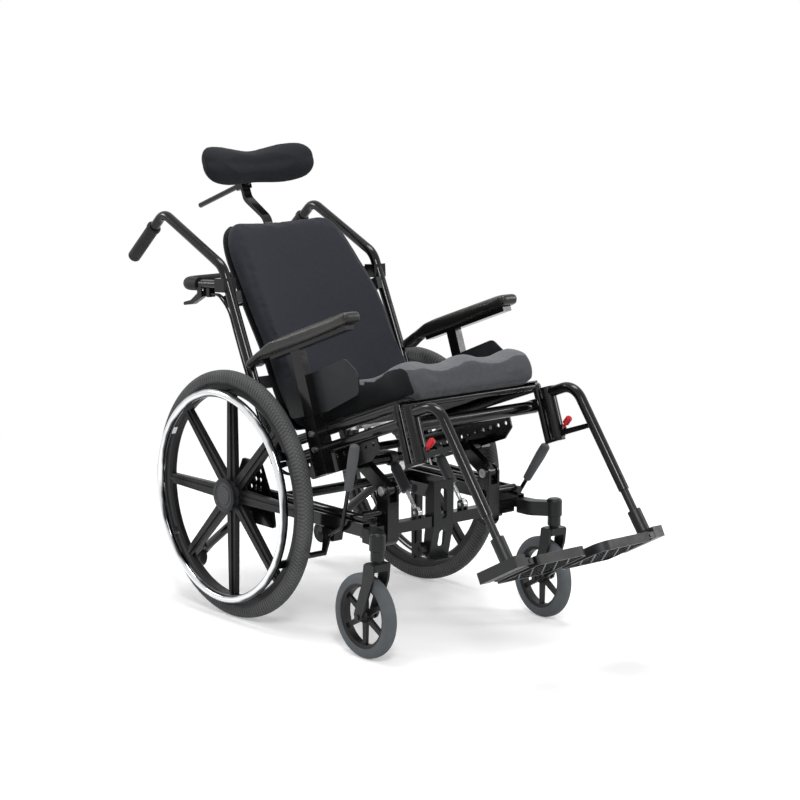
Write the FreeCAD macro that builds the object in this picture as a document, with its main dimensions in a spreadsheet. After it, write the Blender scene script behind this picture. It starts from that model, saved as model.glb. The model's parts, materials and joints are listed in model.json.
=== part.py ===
import FreeCAD, Part
import math
import os

import Sketcher

# Tilt in space wheelchair, millimetres, +Z up, the occupant faces -Y.
# The origin lies on the floor under the middle of the chair's overall box.
# Sizes are written from the rear axle line: y 0 at the axle, x 0 at the middle plane.
# Seat pieces are drawn with the seat level and are then tilted about the front pivot.
# The right side of the occupant is the -X side.

SIDES = {"right": -1, "left": 1}

SIZES = {
    # Overall placing of the chair and of its tilt
    "rear_axle_y": 202.3,
    "tilt_rest": 20.0,
    "pivot_y": -422.0,
    "pivot_z": 367.0,
    "run_fit": 0.05,
    "soft_gap": 0.3,
    # Rear wheels, 24 inch
    "wheel_x": 297.0,
    "wheel_radius": 305.0,
    "tyre_width": 34.0,
    "tyre_depth": 33.0,
    "tyre_round": 15.0,
    "rim_depth": 20.0,
    "rim_width": 22.0,
    "spoke_count": 8.0,
    "spoke_thick": 14.0,
    "spoke_root": 34.0,
    "spoke_tip": 24.0,
    "spoke_rib": 7.0,
    "spoke_rib_lift": 3.5,
    "hub_radius": 34.0,
    "hub_inner": 31.0,
    "hub_outer": 22.0,
    "hub_cap_radius": 42.0,
    "hub_cap_thick": 8.0,
    "hub_ring_step": 9.0,
    "rear_axle_d": 12.7,
    "handrim_radius": 253.0,
    "handrim_d": 20.0,
    "handrim_offset": 39.0,
    "handrim_tabs": 6.0,
    "tab_wide": 20.0,
    "tab_thick": 7.0,
    # Base frame
    "rail_x": 245.0,
    "rail_wide": 22.0,
    "rail_high": 34.0,
    "rail_z": 289.0,
    "rail_front_y": -446.0,
    "rail_rear_y": -24.0,
    "rail_wall": 2.5,
    "top_tube_d": 19.0,
    "top_tube_front_y": -440.0,
    "crossbar_y": -422.0,
    "crossbar_z": 275.0,
    "crossbar_size": 26.0,
    "rear_bar_y": -46.0,
    "rear_bar_d": 25.0,
    "post_x": 160.0,
    "post_wide": 34.0,
    "post_deep": 40.0,
    "post_slot": 22.0,
    "post_slot_deep": 26.0,
    "post_low_z": 236.0,
    "post_hole_d": 22.0,
    "post_hole_z": 316.0,
    "stub_z": 318.0,
    "stub_d": 19.0,
    "pivot_d": 12.0,
    # Axle plates
    "plate_thick": 6.0,
    "plate_hole_d": 13.0,
    "plate_hole_back": 62.4,
    "plate_hole_up": 62.0,
    "plate_column_step": 18.6,
    "plate_row_step": 21.0,
    "plate_hole_rows": 3.0,
    "plate_hole_columns": 3.0,
    # Centre channel
    "channel_wide": 62.0,
    "channel_wall": 4.0,
    "channel_flange": 28.0,
    "channel_top_z": 371.0,
    "channel_low_z": 183.0,
    "roller_d": 34.0,
    # Casters, 8 inch
    "caster_x": 280.0,
    "swivel_y": -527.0,
    "caster_radius": 100.0,
    "caster_width": 32.0,
    "caster_tyre_depth": 24.0,
    "caster_trail": 41.0,
    "caster_spokes": 6.0,
    "caster_yaw": 5.0,
    "barrel_d": 38.0,
    "barrel_neck_d": 32.0,
    "barrel_low_z": 237.0,
    "barrel_step_z": 262.0,
    "barrel_top_z": 304.0,
    "stem_d": 12.0,
    "fork_crown_z": 215.0,
    "fork_crown_high": 17.0,
    "fork_gap": 20.0,
    "fork_blade": 6.0,
    "caster_axle_d": 8.0,
    "arm_high": 35.0,
    "arm_z": 279.0,
    # Wheel locks
    "lock_x": 266.0,
    "lock_y": -328.0,
    "lock_z": 258.0,
    "lock_plate": 5.0,
    "lock_pin_d": 8.0,
    "pin_head_high": 3.0,
    "lock_rod_d": 10.0,
    "lock_grip_d": 25.0,
    "lock_grip_tip_d": 20.0,
    "lock_grip_long": 115.0,
    "lock_lean": 22.0,
    "shoe_d": 14.0,
    "shoe_y": 11.2,
    "shoe_z": -44.0,
    # Anti-tippers
    "tipper_x": 205.0,
    "tipper_d": 22.0,
    "tipper_wheel_y": 280.0,
    "tipper_wheel_z": 82.0,
    "tipper_wheel_d": 56.0,
    "tipper_wheel_wide": 22.0,
    # Seat frame, drawn level
    "seat_x": 220.0,
    "lower_rail_z": 498.0,
    "upper_rail_z": 536.0,
    "lower_rail_d": 25.0,
    "upper_rail_d": 22.0,
    "seat_front_y": -593.0,
    "seat_rear_y": -115.0,
    "upright_d": 20.0,
    "front_tube_d": 30.0,
    "front_bar_d": 16.0,
    "mid_tube_y": -353.0,
    "mid_tube_z": 446.0,
    "mid_tube_d": 24.0,
    "pan_thick": 3.0,
    "pan_wide": 442.0,
    "pan_front_y": -604.0,
    "pan_rear_y": -160.0,
    "side_plate_x": 209.0,
    "side_plate_thick": 4.0,
    "side_plate_low_z": 438.0,
    "side_plate_front_y": -486.0,
    "side_plate_rear_y": -196.0,
    "strut_wide": 20.0,
    "strut_deep": 34.0,
    # Back canes and push handles
    "cane_x": 240.0,
    "cane_d": 25.0,
    "cane_wall": 2.5,
    "cane_low_y": -130.0,
    "cane_low_z": 512.0,
    "cane_kink_y": -85.0,
    "cane_kink_z": 1002.0,
    "cane_bend_y": 111.0,
    "cane_bend_z": 1194.0,
    "handle_end_y": 283.0,
    "handle_end_z": 1126.0,
    "cane_kink_round": 60.0,
    "cane_bend_round": 38.0,
    "grip_d": 33.0,
    "grip_long": 132.0,
    "grip_dimples": 6.0,
    # Push bar
    "bar_d": 22.0,
    "bar_root_y": -78.0,
    "bar_root_z": 957.0,
    "bar_reach": 202.0,
    "bar_slope": 15.8,
    "bar_round": 52.0,
    "foam_d": 33.0,
    "foam_start": 106.0,
    "trigger_reach": 96.0,
    "trigger_drop": 24.0,
    "trigger_pin_d": 6.0,
    "cable_stop_reach": 62.0,
    # Back
    "back_low_y": -186.0,
    "back_low_z": 580.0,
    "back_lean": 13.5,
    "back_high": 566.0,
    "back_half": 205.0,
    "back_thick": 52.0,
    "shell_thick": 5.0,
    # Arms
    "arm_x": 247.0,
    "arm_y": -315.0,
    "arm_post_wide": 20.0,
    "arm_post_deep": 34.0,
    "arm_post_low_z": 450.0,
    "arm_post_top_z": 738.0,
    "socket_wall": 4.0,
    "socket_low_z": 436.0,
    "socket_top_z": 572.0,
    "slide_gap": 0.2,
    "pad_wide": 50.0,
    "pad_low_z": 750.0,
    "pad_high": 25.0,
    "pad_front_y": -548.0,
    "pad_rear_y": -128.0,
    "pad_drop": 22.0,
    "rest_wide": 26.0,
    "rest_inset": 26.0,
    "rest_rear_inset": 92.0,
    "guard_tab_wide": 24.0,
    "guard_tab_z": 640.0,
    "guard_x": 232.0,
    "guard_thick": 4.0,
    # Cushion
    "cushion_low_z": 550.3,
    "cushion_top_z": 626.0,
    "cushion_half": 208.0,
    "cushion_front_y": -634.0,
    "cushion_rear_y": -214.0,
    # Hangers
    "hanger_x": 214.0,
    "hanger_y": -629.0,
    "hanger_post_d": 36.0,
    "hanger_low_z": 404.0,
    "hanger_top_z": 528.0,
    "hanger_pin_d": 14.0,
    "hanger_tube_d": 25.0,
    "hanger_tube_z": 514.0,
    "hanger_bend_y": -722.0,
    "hanger_end_y": -802.0,
    "hanger_end_z": 246.0,
    "hanger_round": 52.0,
    "receiver_thick": 7.0,
    "latch_y": -653.0,
    "latch_z": 426.0,
    "latch_pin_d": 4.0,
    "latch_lean": 60.0,
    "extension_d": 19.0,
    "extension_long": 158.0,
    "extension_inside": 50.0,
    "boot_d": 32.0,
    "boot_long": 60.0,
    # Footplates
    "foot_wide": 158.0,
    "foot_long": 150.0,
    "foot_high": 22.0,
    "foot_skin": 4.0,
    "foot_rib": 3.0,
    "foot_ribs": 5.0,
    "foot_pin_d": 10.0,
    "foot_barrel_d": 22.0,
    "foot_pitch": 8.0,
    "foot_hinge_in": 26.0,
    "foot_reach": 13.0,
    "foot_y": -812.0,
    "foot_z": 122.0,
    # Headrest
    "head_y": 28.0,
    "head_z": 1284.0,
    "head_half": 172.0,
    "head_high": 112.0,
    "head_thick": 52.0,
    "head_wrap": 40.0,
    "head_bar_d": 14.0,
    "ball_d": 20.0,
    "ball_back": 32.0,
    "mast_y": 10.0,
    # Lock struts
    "lock_strut_x": 72.0,
    "anchor_y": -425.0,
    "anchor_z": 302.0,
    "cylinder_d": 26.0,
    "cylinder_long": 92.0,
    "strut_rod_d": 10.0,
    "strut_pin_d": 8.0,
    "strut_eye": 10.0,
    # Cables and bolts
    "cable_d": 5.0,
    "cable_pitch": 8.0,
    "head_stop_deep": 12.0,
    "bolt_head_d": 14.0,
    "bolt_head_high": 5.0,
}

doc = FreeCAD.newDocument("tilt_wheelchair")
dims = doc.addObject("Spreadsheet::Sheet", "dims")
for row, (name, value) in enumerate(SIZES.items(), 1):
    dims.set(f"A{row}", name)
    dims.set(f"B{row}", str(value))
    dims.setAlias(f"B{row}", name)
doc.recompute()

V = FreeCAD.Vector
NODES = []

BASE_FRAME = "placement(vector(0; dims.rear_axle_y; 0); rotation(vector(0; 0; 1); 0))"
SEAT_Y = ("dims.rear_axle_y + dims.pivot_y - dims.pivot_y * cos(dims.tilt_rest)"
          " - dims.pivot_z * sin(dims.tilt_rest)")
SEAT_Z = "dims.pivot_z + dims.pivot_y * sin(dims.tilt_rest) - dims.pivot_z * cos(dims.tilt_rest)"
SEAT_FRAME = f"placement(vector(0; {SEAT_Y}; {SEAT_Z}); rotation(vector(-1; 0; 0); dims.tilt_rest))"


def num(expression):
    """The number that an expression on the sheet's values gives."""
    return float(dims.evalExpression(str(expression)))


def bind(item, **sizes):
    """Ties properties of one object to the sheet."""
    for key, expression in sizes.items():
        item.setExpression(key, str(expression))
    return item


def put(item, x=0, y=0, z=0, axis=(0, 0, 1), turn=0):
    """Places an object at bound coordinates, turned about an axis through its own origin."""
    spin = f"rotation(vector({axis[0]}; {axis[1]}; {axis[2]}); {turn})"
    item.setExpression("Placement", f"placement(vector({x}; {y}; {z}); {spin})")
    return item


def plane_of(body, role):
    return [part for part in body.Origin.OriginFeatures if part.Role == role][0]


def new_body(name):
    return doc.addObject("PartDesign::Body", name)


def new_sketch(body, role, offset=0):
    """A sketch on one of the body's own planes, moved along that plane's normal."""
    sketch = body.newObject("Sketcher::SketchObject", f"{body.Name}_sketch")
    sketch.AttachmentSupport = [(plane_of(body, role), "")]
    sketch.MapMode = "FlatFace"
    sketch.setExpression("AttachmentOffset.Base.z", str(offset))
    return sketch


def hold(sketch, kind, *where, size=None):
    """Adds a constraint, bound to an expression where it has a size."""
    if size is None:
        return sketch.addConstraint(Sketcher.Constraint(kind, *where))
    number = sketch.addConstraint(Sketcher.Constraint(kind, *where, num(size)))
    sketch.setExpression(f"Constraints[{number}]", str(size))
    return number


def circle(sketch, across, up, diameter):
    """A circle held by its centre and its diameter."""
    centre = V(num(across), num(up), 0)
    ring = sketch.addGeometry(Part.Circle(centre, V(0, 0, 1), num(diameter) / 2))
    hold(sketch, "DistanceX", -1, 1, ring, 3, size=across)
    hold(sketch, "DistanceY", -1, 1, ring, 3, size=up)
    hold(sketch, "Radius", ring, size=f"({diameter}) / 2")


def bearing(direction):
    return math.atan2(direction.y, direction.x)


def outline(sketch, points, closed=True):
    """Straight runs through bound points, each rounded by the radius given with its point."""
    count = len(points)
    last = count if closed else count - 1
    corners = [V(num(point[0]), num(point[1]), 0) for point in points]
    radii = [num(point[2]) if len(point) > 2 else 0 for point in points]
    entries = list(corners)
    leaves = list(corners)
    centres = [None] * count
    for i in range(count):
        if radii[i] and (closed or 0 < i < count - 1):
            before = (corners[i - 1] - corners[i]).normalize()
            after = (corners[(i + 1) % count] - corners[i]).normalize()
            half = before.getAngle(after) / 2
            entries[i] = corners[i] + before * (radii[i] / math.tan(half))
            leaves[i] = corners[i] + after * (radii[i] / math.tan(half))
            centres[i] = corners[i] + (before + after).normalize() * (radii[i] / math.sin(half))
    runs = [sketch.addGeometry(Part.LineSegment(leaves[i], entries[(i + 1) % count])) for i in range(last)]
    for i in range(count):
        joined = closed or 0 < i < count - 1
        before = runs[(i - 1) % last] if joined or i else None
        after = runs[i] if joined or i == 0 else None
        if centres[i] is None:
            if joined:
                hold(sketch, "Coincident", before, 2, after, 1)
            held, end = (after, 1) if after is not None else (before, 2)
        else:
            enter = bearing(entries[i] - centres[i])
            leave = bearing(leaves[i] - centres[i])
            first = 1 if (leave - enter) % (2 * math.pi) < math.pi else 2
            low, high = (enter, leave) if first == 1 else (leave, enter)
            whole = Part.Circle(centres[i], V(0, 0, 1), radii[i])
            bend = sketch.addGeometry(Part.ArcOfCircle(whole, low, low + (high - low) % (2 * math.pi)))
            hold(sketch, "Tangent", before, 2, bend, first)
            hold(sketch, "Tangent", bend, 3 - first, after, 1)
            hold(sketch, "Radius", bend, size=points[i][2])
            held, end = sketch.addGeometry(Part.Point(corners[i]), True), 1
            hold(sketch, "PointOnObject", held, 1, before)
            hold(sketch, "PointOnObject", held, 1, after)
        hold(sketch, "DistanceX", -1, 1, held, end, size=points[i][0])
        hold(sketch, "DistanceY", -1, 1, held, end, size=points[i][1])
    return sketch


def pad(body, sketch, length, both=True, back=False):
    feature = body.newObject("PartDesign::Pad", f"{body.Name}_pad")
    feature.Profile = sketch
    feature.setExpression("Length", str(length))
    feature.SideType = "Symmetric" if both else "One side"
    feature.Reversed = back
    body.Tip = feature
    return feature


def pocket(body, sketch, length, both=True, back=False):
    """A pocket that must take something away."""
    doc.recompute()
    before = body.Shape.Volume
    feature = body.newObject("PartDesign::Pocket", f"{body.Name}_pocket")
    feature.Profile = sketch
    feature.setExpression("Length", str(length))
    feature.SideType = "Symmetric" if both else "One side"
    feature.Reversed = back
    body.Tip = feature
    doc.recompute()
    if not body.Shape.Volume < before:
        raise RuntimeError(f"{body.Name}: a pocket cuts nothing")
    return feature


def revolve(body, sketch, axis="H_Axis"):
    feature = body.newObject("PartDesign::Revolution", f"{body.Name}_turned")
    feature.Profile = sketch
    feature.ReferenceAxis = (sketch, [axis])
    feature.Angle = 360
    body.Tip = feature
    return feature


def around(body, features, count, sketch, axis="N_Axis"):
    """Repeats features round an axis of a sketch."""
    pattern = body.newObject("PartDesign::PolarPattern", f"{body.Name}_round")
    pattern.Originals = features
    pattern.Axis = (sketch, [axis])
    pattern.Angle = 360
    pattern.setExpression("Occurrences", str(count))
    body.Tip = pattern
    return pattern


def pipe(body, path, outer, inner=None):
    """A round tube along a path sketch."""
    section = body.newObject("Sketcher::SketchObject", f"{body.Name}_section")
    section.AttachmentSupport = [(path, "Edge1")]
    section.MapMode = "NormalToEdge"
    section.MapReversed = True
    circle(section, 0, 0, outer)
    if inner is not None:
        circle(section, 0, 0, inner)
    feature = body.newObject("PartDesign::AdditivePipe", f"{body.Name}_pipe")
    feature.Profile = section
    feature.Spine = path
    body.Tip = feature
    return feature


def slab(name, role, points, thick, offset=0, both=True, back=False):
    """A plate: a closed outline given a thickness."""
    body = new_body(name)
    pad(body, outline(new_sketch(body, role, offset), points), thick, both, back)
    return body


def turned(name, points, role="XY_Plane", axis="H_Axis"):
    """A solid of revolution about an axis of its sketch."""
    body = new_body(name)
    revolve(body, outline(new_sketch(body, role), points), axis)
    return body


def box(name, wide, deep, high, x=0, y=0, z=0, axis=(0, 0, 1), turn=0):
    """A box centred on its place."""
    block = doc.addObject("Part::Box", f"{name}_block")
    bind(block, Length=wide, Width=deep, Height=high)
    block.setExpression("Placement.Base.x", f"-({wide}) / 2")
    block.setExpression("Placement.Base.y", f"-({deep}) / 2")
    block.setExpression("Placement.Base.z", f"-({high}) / 2")
    holder = doc.addObject("Part::Compound", name)
    holder.Links = [block]
    return put(holder, x, y, z, axis, turn)


def rod(name, diameter, long, x=0, y=0, z=0, axis=(0, 0, 1), turn=0):
    """A cylinder that starts at its place and runs along its turned Z axis."""
    bar = doc.addObject("Part::Cylinder", name)
    bind(bar, Radius=f"({diameter}) / 2", Height=long)
    return put(bar, x, y, z, axis, turn)


def rod_x(name, diameter, long, x=0, y=0, z=0):
    """A cylinder across the chair, centred on its place."""
    return rod(name, diameter, long, f"{x} - ({long}) / 2", y, z, (0, 1, 0), 90)


def fuse(name, parts):
    joined = doc.addObject("Part::MultiFuse", name)
    joined.Shapes = parts
    return joined


def cut(name, body, tools):
    """Takes the tools away from a body."""
    tool = tools[0] if len(tools) == 1 else fuse(f"{name}_tools", tools)
    result = doc.addObject("Part::Cut", name)
    result.Base = body
    result.Tool = tool
    return result


def common(name, body, tool):
    result = doc.addObject("Part::Common", name)
    result.Base = body
    result.Tool = tool
    return result


def mirror(name, source):
    """The same piece on the other side of the middle plane."""
    twin = doc.addObject("Part::Mirroring", name)
    twin.Source = source
    twin.Normal = V(1, 0, 0)
    return twin


def group(name, parts):
    """Separate solids that share one node."""
    bundle = doc.addObject("Part::Compound", name)
    bundle.Links = parts
    return bundle


def pair(name, source, extra=()):
    """A piece and its mirrored twin in one node."""
    return group(name, [source, mirror(f"{name}_twin", source), *extra])


def node(name, item, frame):
    """Names a finished sub-part and places it in the chair."""
    item.Label = name
    if frame:
        item.setExpression("Placement", frame)
    NODES.append(item)
    return item


def at_side(side, expression):
    return f"{SIDES[side]} * ({expression})"


def at_base(x=0, y=0, z=0, axis=(0, 0, 1), turn=0):
    """A frame fixed to the base, for what turns on it."""
    spin = f"rotation(vector({axis[0]}; {axis[1]}; {axis[2]}); {turn})"
    return f"placement(vector({x}; dims.rear_axle_y + {y}; {z}); {spin})"


def at_seat(x=0, y=0, z=0, axis=(0, 0, 1), turn=0):
    """A frame fixed to the tilted seat, given in the level seat's coordinates."""
    spin = f"rotation(vector({axis[0]}; {axis[1]}; {axis[2]}); {turn})"
    return f"{SEAT_FRAME} * placement(vector({x}; {y}; {z}); {spin})"


def wheel_frame(side):
    return at_base(at_side(side, "dims.wheel_x"), 0, "dims.wheel_radius")


def rear_tyre(side):
    """Solid tyre with rounded shoulders, seated on the rim."""
    half = "dims.tyre_width / 2"
    inner = "dims.wheel_radius - dims.tyre_depth"
    tyre = turned(f"tyre_{side}", [
        (f"-{half}", inner, 4), (f"-{half}", "dims.wheel_radius", "dims.tyre_round"),
        (half, "dims.wheel_radius", "dims.tyre_round"), (half, inner, 4)])
    node(f"rear_tyre_{side}", tyre, wheel_frame(side))


def mag_wheel(side):
    """One-piece moulded wheel: hub with ringed cap, tapered ribbed spokes and rim."""
    out = SIDES[side]
    body = new_body(f"mag_{side}")
    bore = "dims.rear_axle_d / 2 + dims.run_fit"
    cap = f"{out} * (dims.hub_outer + dims.hub_cap_thick)"
    cap_ring = f"{out} * (dims.hub_outer + dims.hub_cap_thick + 2)"
    hub = outline(new_sketch(body, "XY_Plane"), [
        (f"-{out} * dims.hub_inner", bore),
        (f"-{out} * dims.hub_inner", "dims.hub_radius - 12"),
        (f"-{out} * 8", "dims.hub_radius"),
        (f"{out} * dims.hub_outer", "dims.hub_radius"),
        (f"{out} * dims.hub_outer", "dims.hub_cap_radius"),
        (cap, "dims.hub_cap_radius"),
        (cap_ring, "dims.hub_cap_radius - dims.hub_ring_step"),
        (cap, "dims.hub_cap_radius - dims.hub_ring_step - 1"),
        (cap, "dims.hub_cap_radius - 2 * dims.hub_ring_step"),
        (cap_ring, "dims.hub_cap_radius - 2 * dims.hub_ring_step - 1"),
        (cap_ring, 0),
        (f"{out} * (dims.hub_outer + 2)", 0),
        (f"{out} * (dims.hub_outer + 2)", bore)])
    revolve(body, hub)
    top = "dims.wheel_radius - dims.tyre_depth"
    half = "dims.rim_width / 2"
    rim = outline(new_sketch(body, "XY_Plane"), [
        (f"-{half}", top), (half, top), (half, f"{top} - dims.rim_depth + 3"),
        (f"{half} - 5", f"{top} - dims.rim_depth - 2"),
        (f"-{half} + 5", f"{top} - dims.rim_depth - 2"), (f"-{half}", f"{top} - dims.rim_depth + 3")])
    revolve(body, rim)
    reach = f"{top} - dims.rim_depth + 1"
    web_sketch = outline(new_sketch(body, "YZ_Plane"), [
        ("-dims.spoke_root / 2", "dims.hub_radius - 6"), ("dims.spoke_root / 2", "dims.hub_radius - 6"),
        ("dims.spoke_tip / 2", reach), ("-dims.spoke_tip / 2", reach)])
    web = pad(body, web_sketch, "dims.spoke_thick")
    rib_sketch = outline(new_sketch(body, "YZ_Plane"), [
        ("-dims.spoke_rib / 2", "dims.hub_radius - 6"), ("dims.spoke_rib / 2", "dims.hub_radius - 6"),
        ("dims.spoke_rib / 2", reach), ("-dims.spoke_rib / 2", reach)])
    rib = pad(body, rib_sketch, "dims.spoke_thick + 2 * dims.spoke_rib_lift")
    around(body, [web, rib], "dims.spoke_count", web_sketch)
    node(f"mag_wheel_{side}", body, wheel_frame(side))


def handrim(side):
    """Chromed hand rim on tabs that stand off the rim's side."""
    out = SIDES[side]
    body = new_body(f"hand_{side}")
    ring = new_sketch(body, "XY_Plane")
    circle(ring, f"{out} * dims.handrim_offset", "dims.handrim_radius", "dims.handrim_d")
    revolve(body, ring)
    low = "dims.handrim_radius + 2"
    seat = new_sketch(body, "YZ_Plane", f"{out} * dims.rim_width / 2")
    outline(seat, [
        ("-dims.tab_wide / 2", low), ("dims.tab_wide / 2", low),
        ("dims.tab_wide / 2", f"{low} + dims.tab_thick"), ("-dims.tab_wide / 2", f"{low} + dims.tab_thick")])
    long = "dims.handrim_offset - dims.rim_width / 2 - dims.handrim_d / 4"
    tab = pad(body, seat, long, both=False, back=out < 0)
    around(body, [tab], "dims.handrim_tabs", seat)
    node(f"handrim_{side}", body, wheel_frame(side))


def rear_axles():
    """Axle pins through the axle plates, each with its collar and inner nut."""
    plate = "dims.rail_x + dims.rail_wide / 2"
    radius = "dims.rear_axle_d / 2"
    tip = "dims.wheel_x + dims.hub_outer"
    face = "dims.wheel_x - dims.hub_inner - dims.soft_gap"
    pin = turned("axle_pin", [
        (f"{plate} - 9", 0), (f"{plate} - 9", f"{radius} + 6"), (plate, f"{radius} + 6"), (plate, radius),
        (f"{plate} + dims.plate_thick", radius), (f"{plate} + dims.plate_thick", f"{radius} + 7"),
        (face, f"{radius} + 7"), (face, radius), (tip, radius), (tip, 0)])
    put(pin, 0, 0, "dims.wheel_radius")
    node("rear_axles", pair("axle_pins", pin), BASE_FRAME)


def base_rails():
    """Side rails: a deep box tube with a round tube welded on top, and the stub to the front post."""
    half = "dims.rail_wide / 2"
    tall = "dims.rail_high / 2"
    body = new_body("rail")
    middle = "(dims.rail_front_y + dims.rail_rear_y) / 2"
    long = "dims.rail_rear_y - dims.rail_front_y"
    outer = outline(new_sketch(body, "XZ_Plane", f"-{middle}"), [
        (f"dims.rail_x - {half}", f"dims.rail_z - {tall}", 4), (f"dims.rail_x + {half}", f"dims.rail_z - {tall}", 4),
        (f"dims.rail_x + {half}", f"dims.rail_z + {tall}", 4), (f"dims.rail_x - {half}", f"dims.rail_z + {tall}", 4)])
    pad(body, outer, long)
    inner_half = f"({half} - dims.rail_wall)"
    inner_tall = f"({tall} - dims.rail_wall)"
    bore = outline(new_sketch(body, "XZ_Plane", f"-{middle}"), [
        (f"dims.rail_x - {inner_half}", f"dims.rail_z - {inner_tall}"),
        (f"dims.rail_x + {inner_half}", f"dims.rail_z - {inner_tall}"),
        (f"dims.rail_x + {inner_half}", f"dims.rail_z + {inner_tall}"),
        (f"dims.rail_x - {inner_half}", f"dims.rail_z + {inner_tall}")])
    pocket(body, bore, f"{long} + 2")
    top_z = f"dims.rail_z + {tall} + dims.top_tube_d / 2 - 1"
    top = rod("rail_top_tube", "dims.top_tube_d", "dims.rail_rear_y - dims.top_tube_front_y",
              "dims.rail_x", "dims.top_tube_front_y", top_z, (1, 0, 0), -90)
    stub_in = "(dims.post_x + dims.post_wide / 2)"
    stub = rod("rail_stub", "dims.stub_d", f"dims.rail_x - {stub_in}", stub_in, "dims.crossbar_y",
               "dims.stub_z", (0, 1, 0), 90)
    node("base_rails", pair("rails", fuse("rail_side", [body, top, stub])), BASE_FRAME)


def crossbar_solid(name):
    return box(name, "2 * dims.rail_x - dims.rail_wide", "dims.crossbar_size", "dims.crossbar_size",
               0, "dims.crossbar_y", "dims.crossbar_z")


def anchor_lugs(side_sign):
    """A pair of cheeks on the front bar that hold the lock strut's lower pin."""
    lugs = []
    for number, step in enumerate((-1, 1)):
        gap = f"{step} * (dims.strut_eye / 2 + dims.soft_gap + 2)"
        top = "dims.crossbar_z + dims.crossbar_size / 2"
        body = new_body(f"lug_{number}")
        sketch = outline(new_sketch(body, "YZ_Plane", f"{side_sign} * dims.lock_strut_x + {gap}"), [
            ("dims.anchor_y - 9", top), ("dims.anchor_y + 9", top),
            ("dims.anchor_y + 9", "dims.anchor_z + 10", 8), ("dims.anchor_y - 9", "dims.anchor_z + 10", 8)])
        circle(sketch, "dims.anchor_y", "dims.anchor_z", "dims.strut_pin_d")
        pad(body, sketch, 4)
        lugs.append(body)
    return lugs


def base_crossbars():
    """Front bar with the strut lugs, and the rear bar between the side rails."""
    front = fuse("front_bar", [crossbar_solid("front_square"), *anchor_lugs(-1), *anchor_lugs(1)])
    rear = rod_x("rear_bar", "dims.rear_bar_d", "2 * dims.rail_x - dims.rail_wide", 0, "dims.rear_bar_y", "dims.rail_z")
    node("base_crossbars", group("crossbars", [front, rear]), BASE_FRAME)


def front_posts():
    """Channel posts that carry the tilt pivot, with a curved foot and a slotted head."""
    half = "dims.post_deep / 2"
    body = new_body("post")
    side = outline(new_sketch(body, "YZ_Plane", "dims.post_x"), [
        (f"dims.pivot_y - {half}", "dims.post_low_z + 14", 18), (f"dims.pivot_y - {half} + 12", "dims.post_low_z", 8),
        (f"dims.pivot_y + {half}", "dims.post_low_z + 8", 10),
        (f"dims.pivot_y + {half}", f"dims.pivot_z + {half}", f"{half} - 1"),
        (f"dims.pivot_y - {half}", f"dims.pivot_z + {half}", f"{half} - 1")])
    circle(side, "dims.pivot_y", "dims.pivot_z", "dims.pivot_d")
    circle(side, "dims.pivot_y", "dims.post_hole_z", "dims.post_hole_d")
    pad(body, side, "dims.post_wide")
    low = "dims.pivot_z - dims.post_slot_deep"
    high = "dims.pivot_z + dims.post_deep"
    slot = outline(new_sketch(body, "XZ_Plane", "-dims.pivot_y"), [
        ("dims.post_x - dims.post_slot / 2", low), ("dims.post_x + dims.post_slot / 2", low),
        ("dims.post_x + dims.post_slot / 2", high), ("dims.post_x - dims.post_slot / 2", high)])
    pocket(body, slot, "dims.post_deep + 4")
    clear = cut("post_on_bar", body, [crossbar_solid("post_bar_gap")])
    node("front_posts", pair("posts", clear), BASE_FRAME)


def axle_plates():
    """Outer plates with rows of axle holes."""
    face = "dims.rail_x + dims.rail_wide / 2 + dims.plate_thick / 2"
    body = new_body("plate")
    sketch = outline(new_sketch(body, "YZ_Plane", face), [
        (-120, 234, 8), (-42, 234, 12), (30, 276, 20), (30, 346, 20), (8, 390, 8), (-64, 390, 8), (-108, 303, 30)])
    circle(sketch, 0, "dims.wheel_radius", "dims.rear_axle_d")
    pad(body, sketch, "dims.plate_thick")
    holes = new_sketch(body, "YZ_Plane", face)
    circle(holes, "-dims.plate_hole_back", "dims.wheel_radius + dims.plate_hole_up", "dims.plate_hole_d")
    hole = pocket(body, holes, "dims.plate_thick + 2")
    grid = body.newObject("PartDesign::MultiTransform", "plate_grid")
    grid.Originals = [hole]
    steps = []
    for name, axis, back in (("column", "H_Axis", False), ("row", "V_Axis", True)):
        step = body.newObject("PartDesign::LinearPattern", f"plate_{name}")
        step.Direction = (holes, [axis])
        step.Reversed = back
        step.Mode = "Spacing"
        step.setExpression("Offset", f"dims.plate_{name}_step")
        step.setExpression("Occurrences", f"dims.plate_hole_{name}s")
        steps.append(step)
    grid.Transformations = steps
    body.Tip = grid
    node("axle_plates", pair("plates", body), BASE_FRAME)


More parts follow.
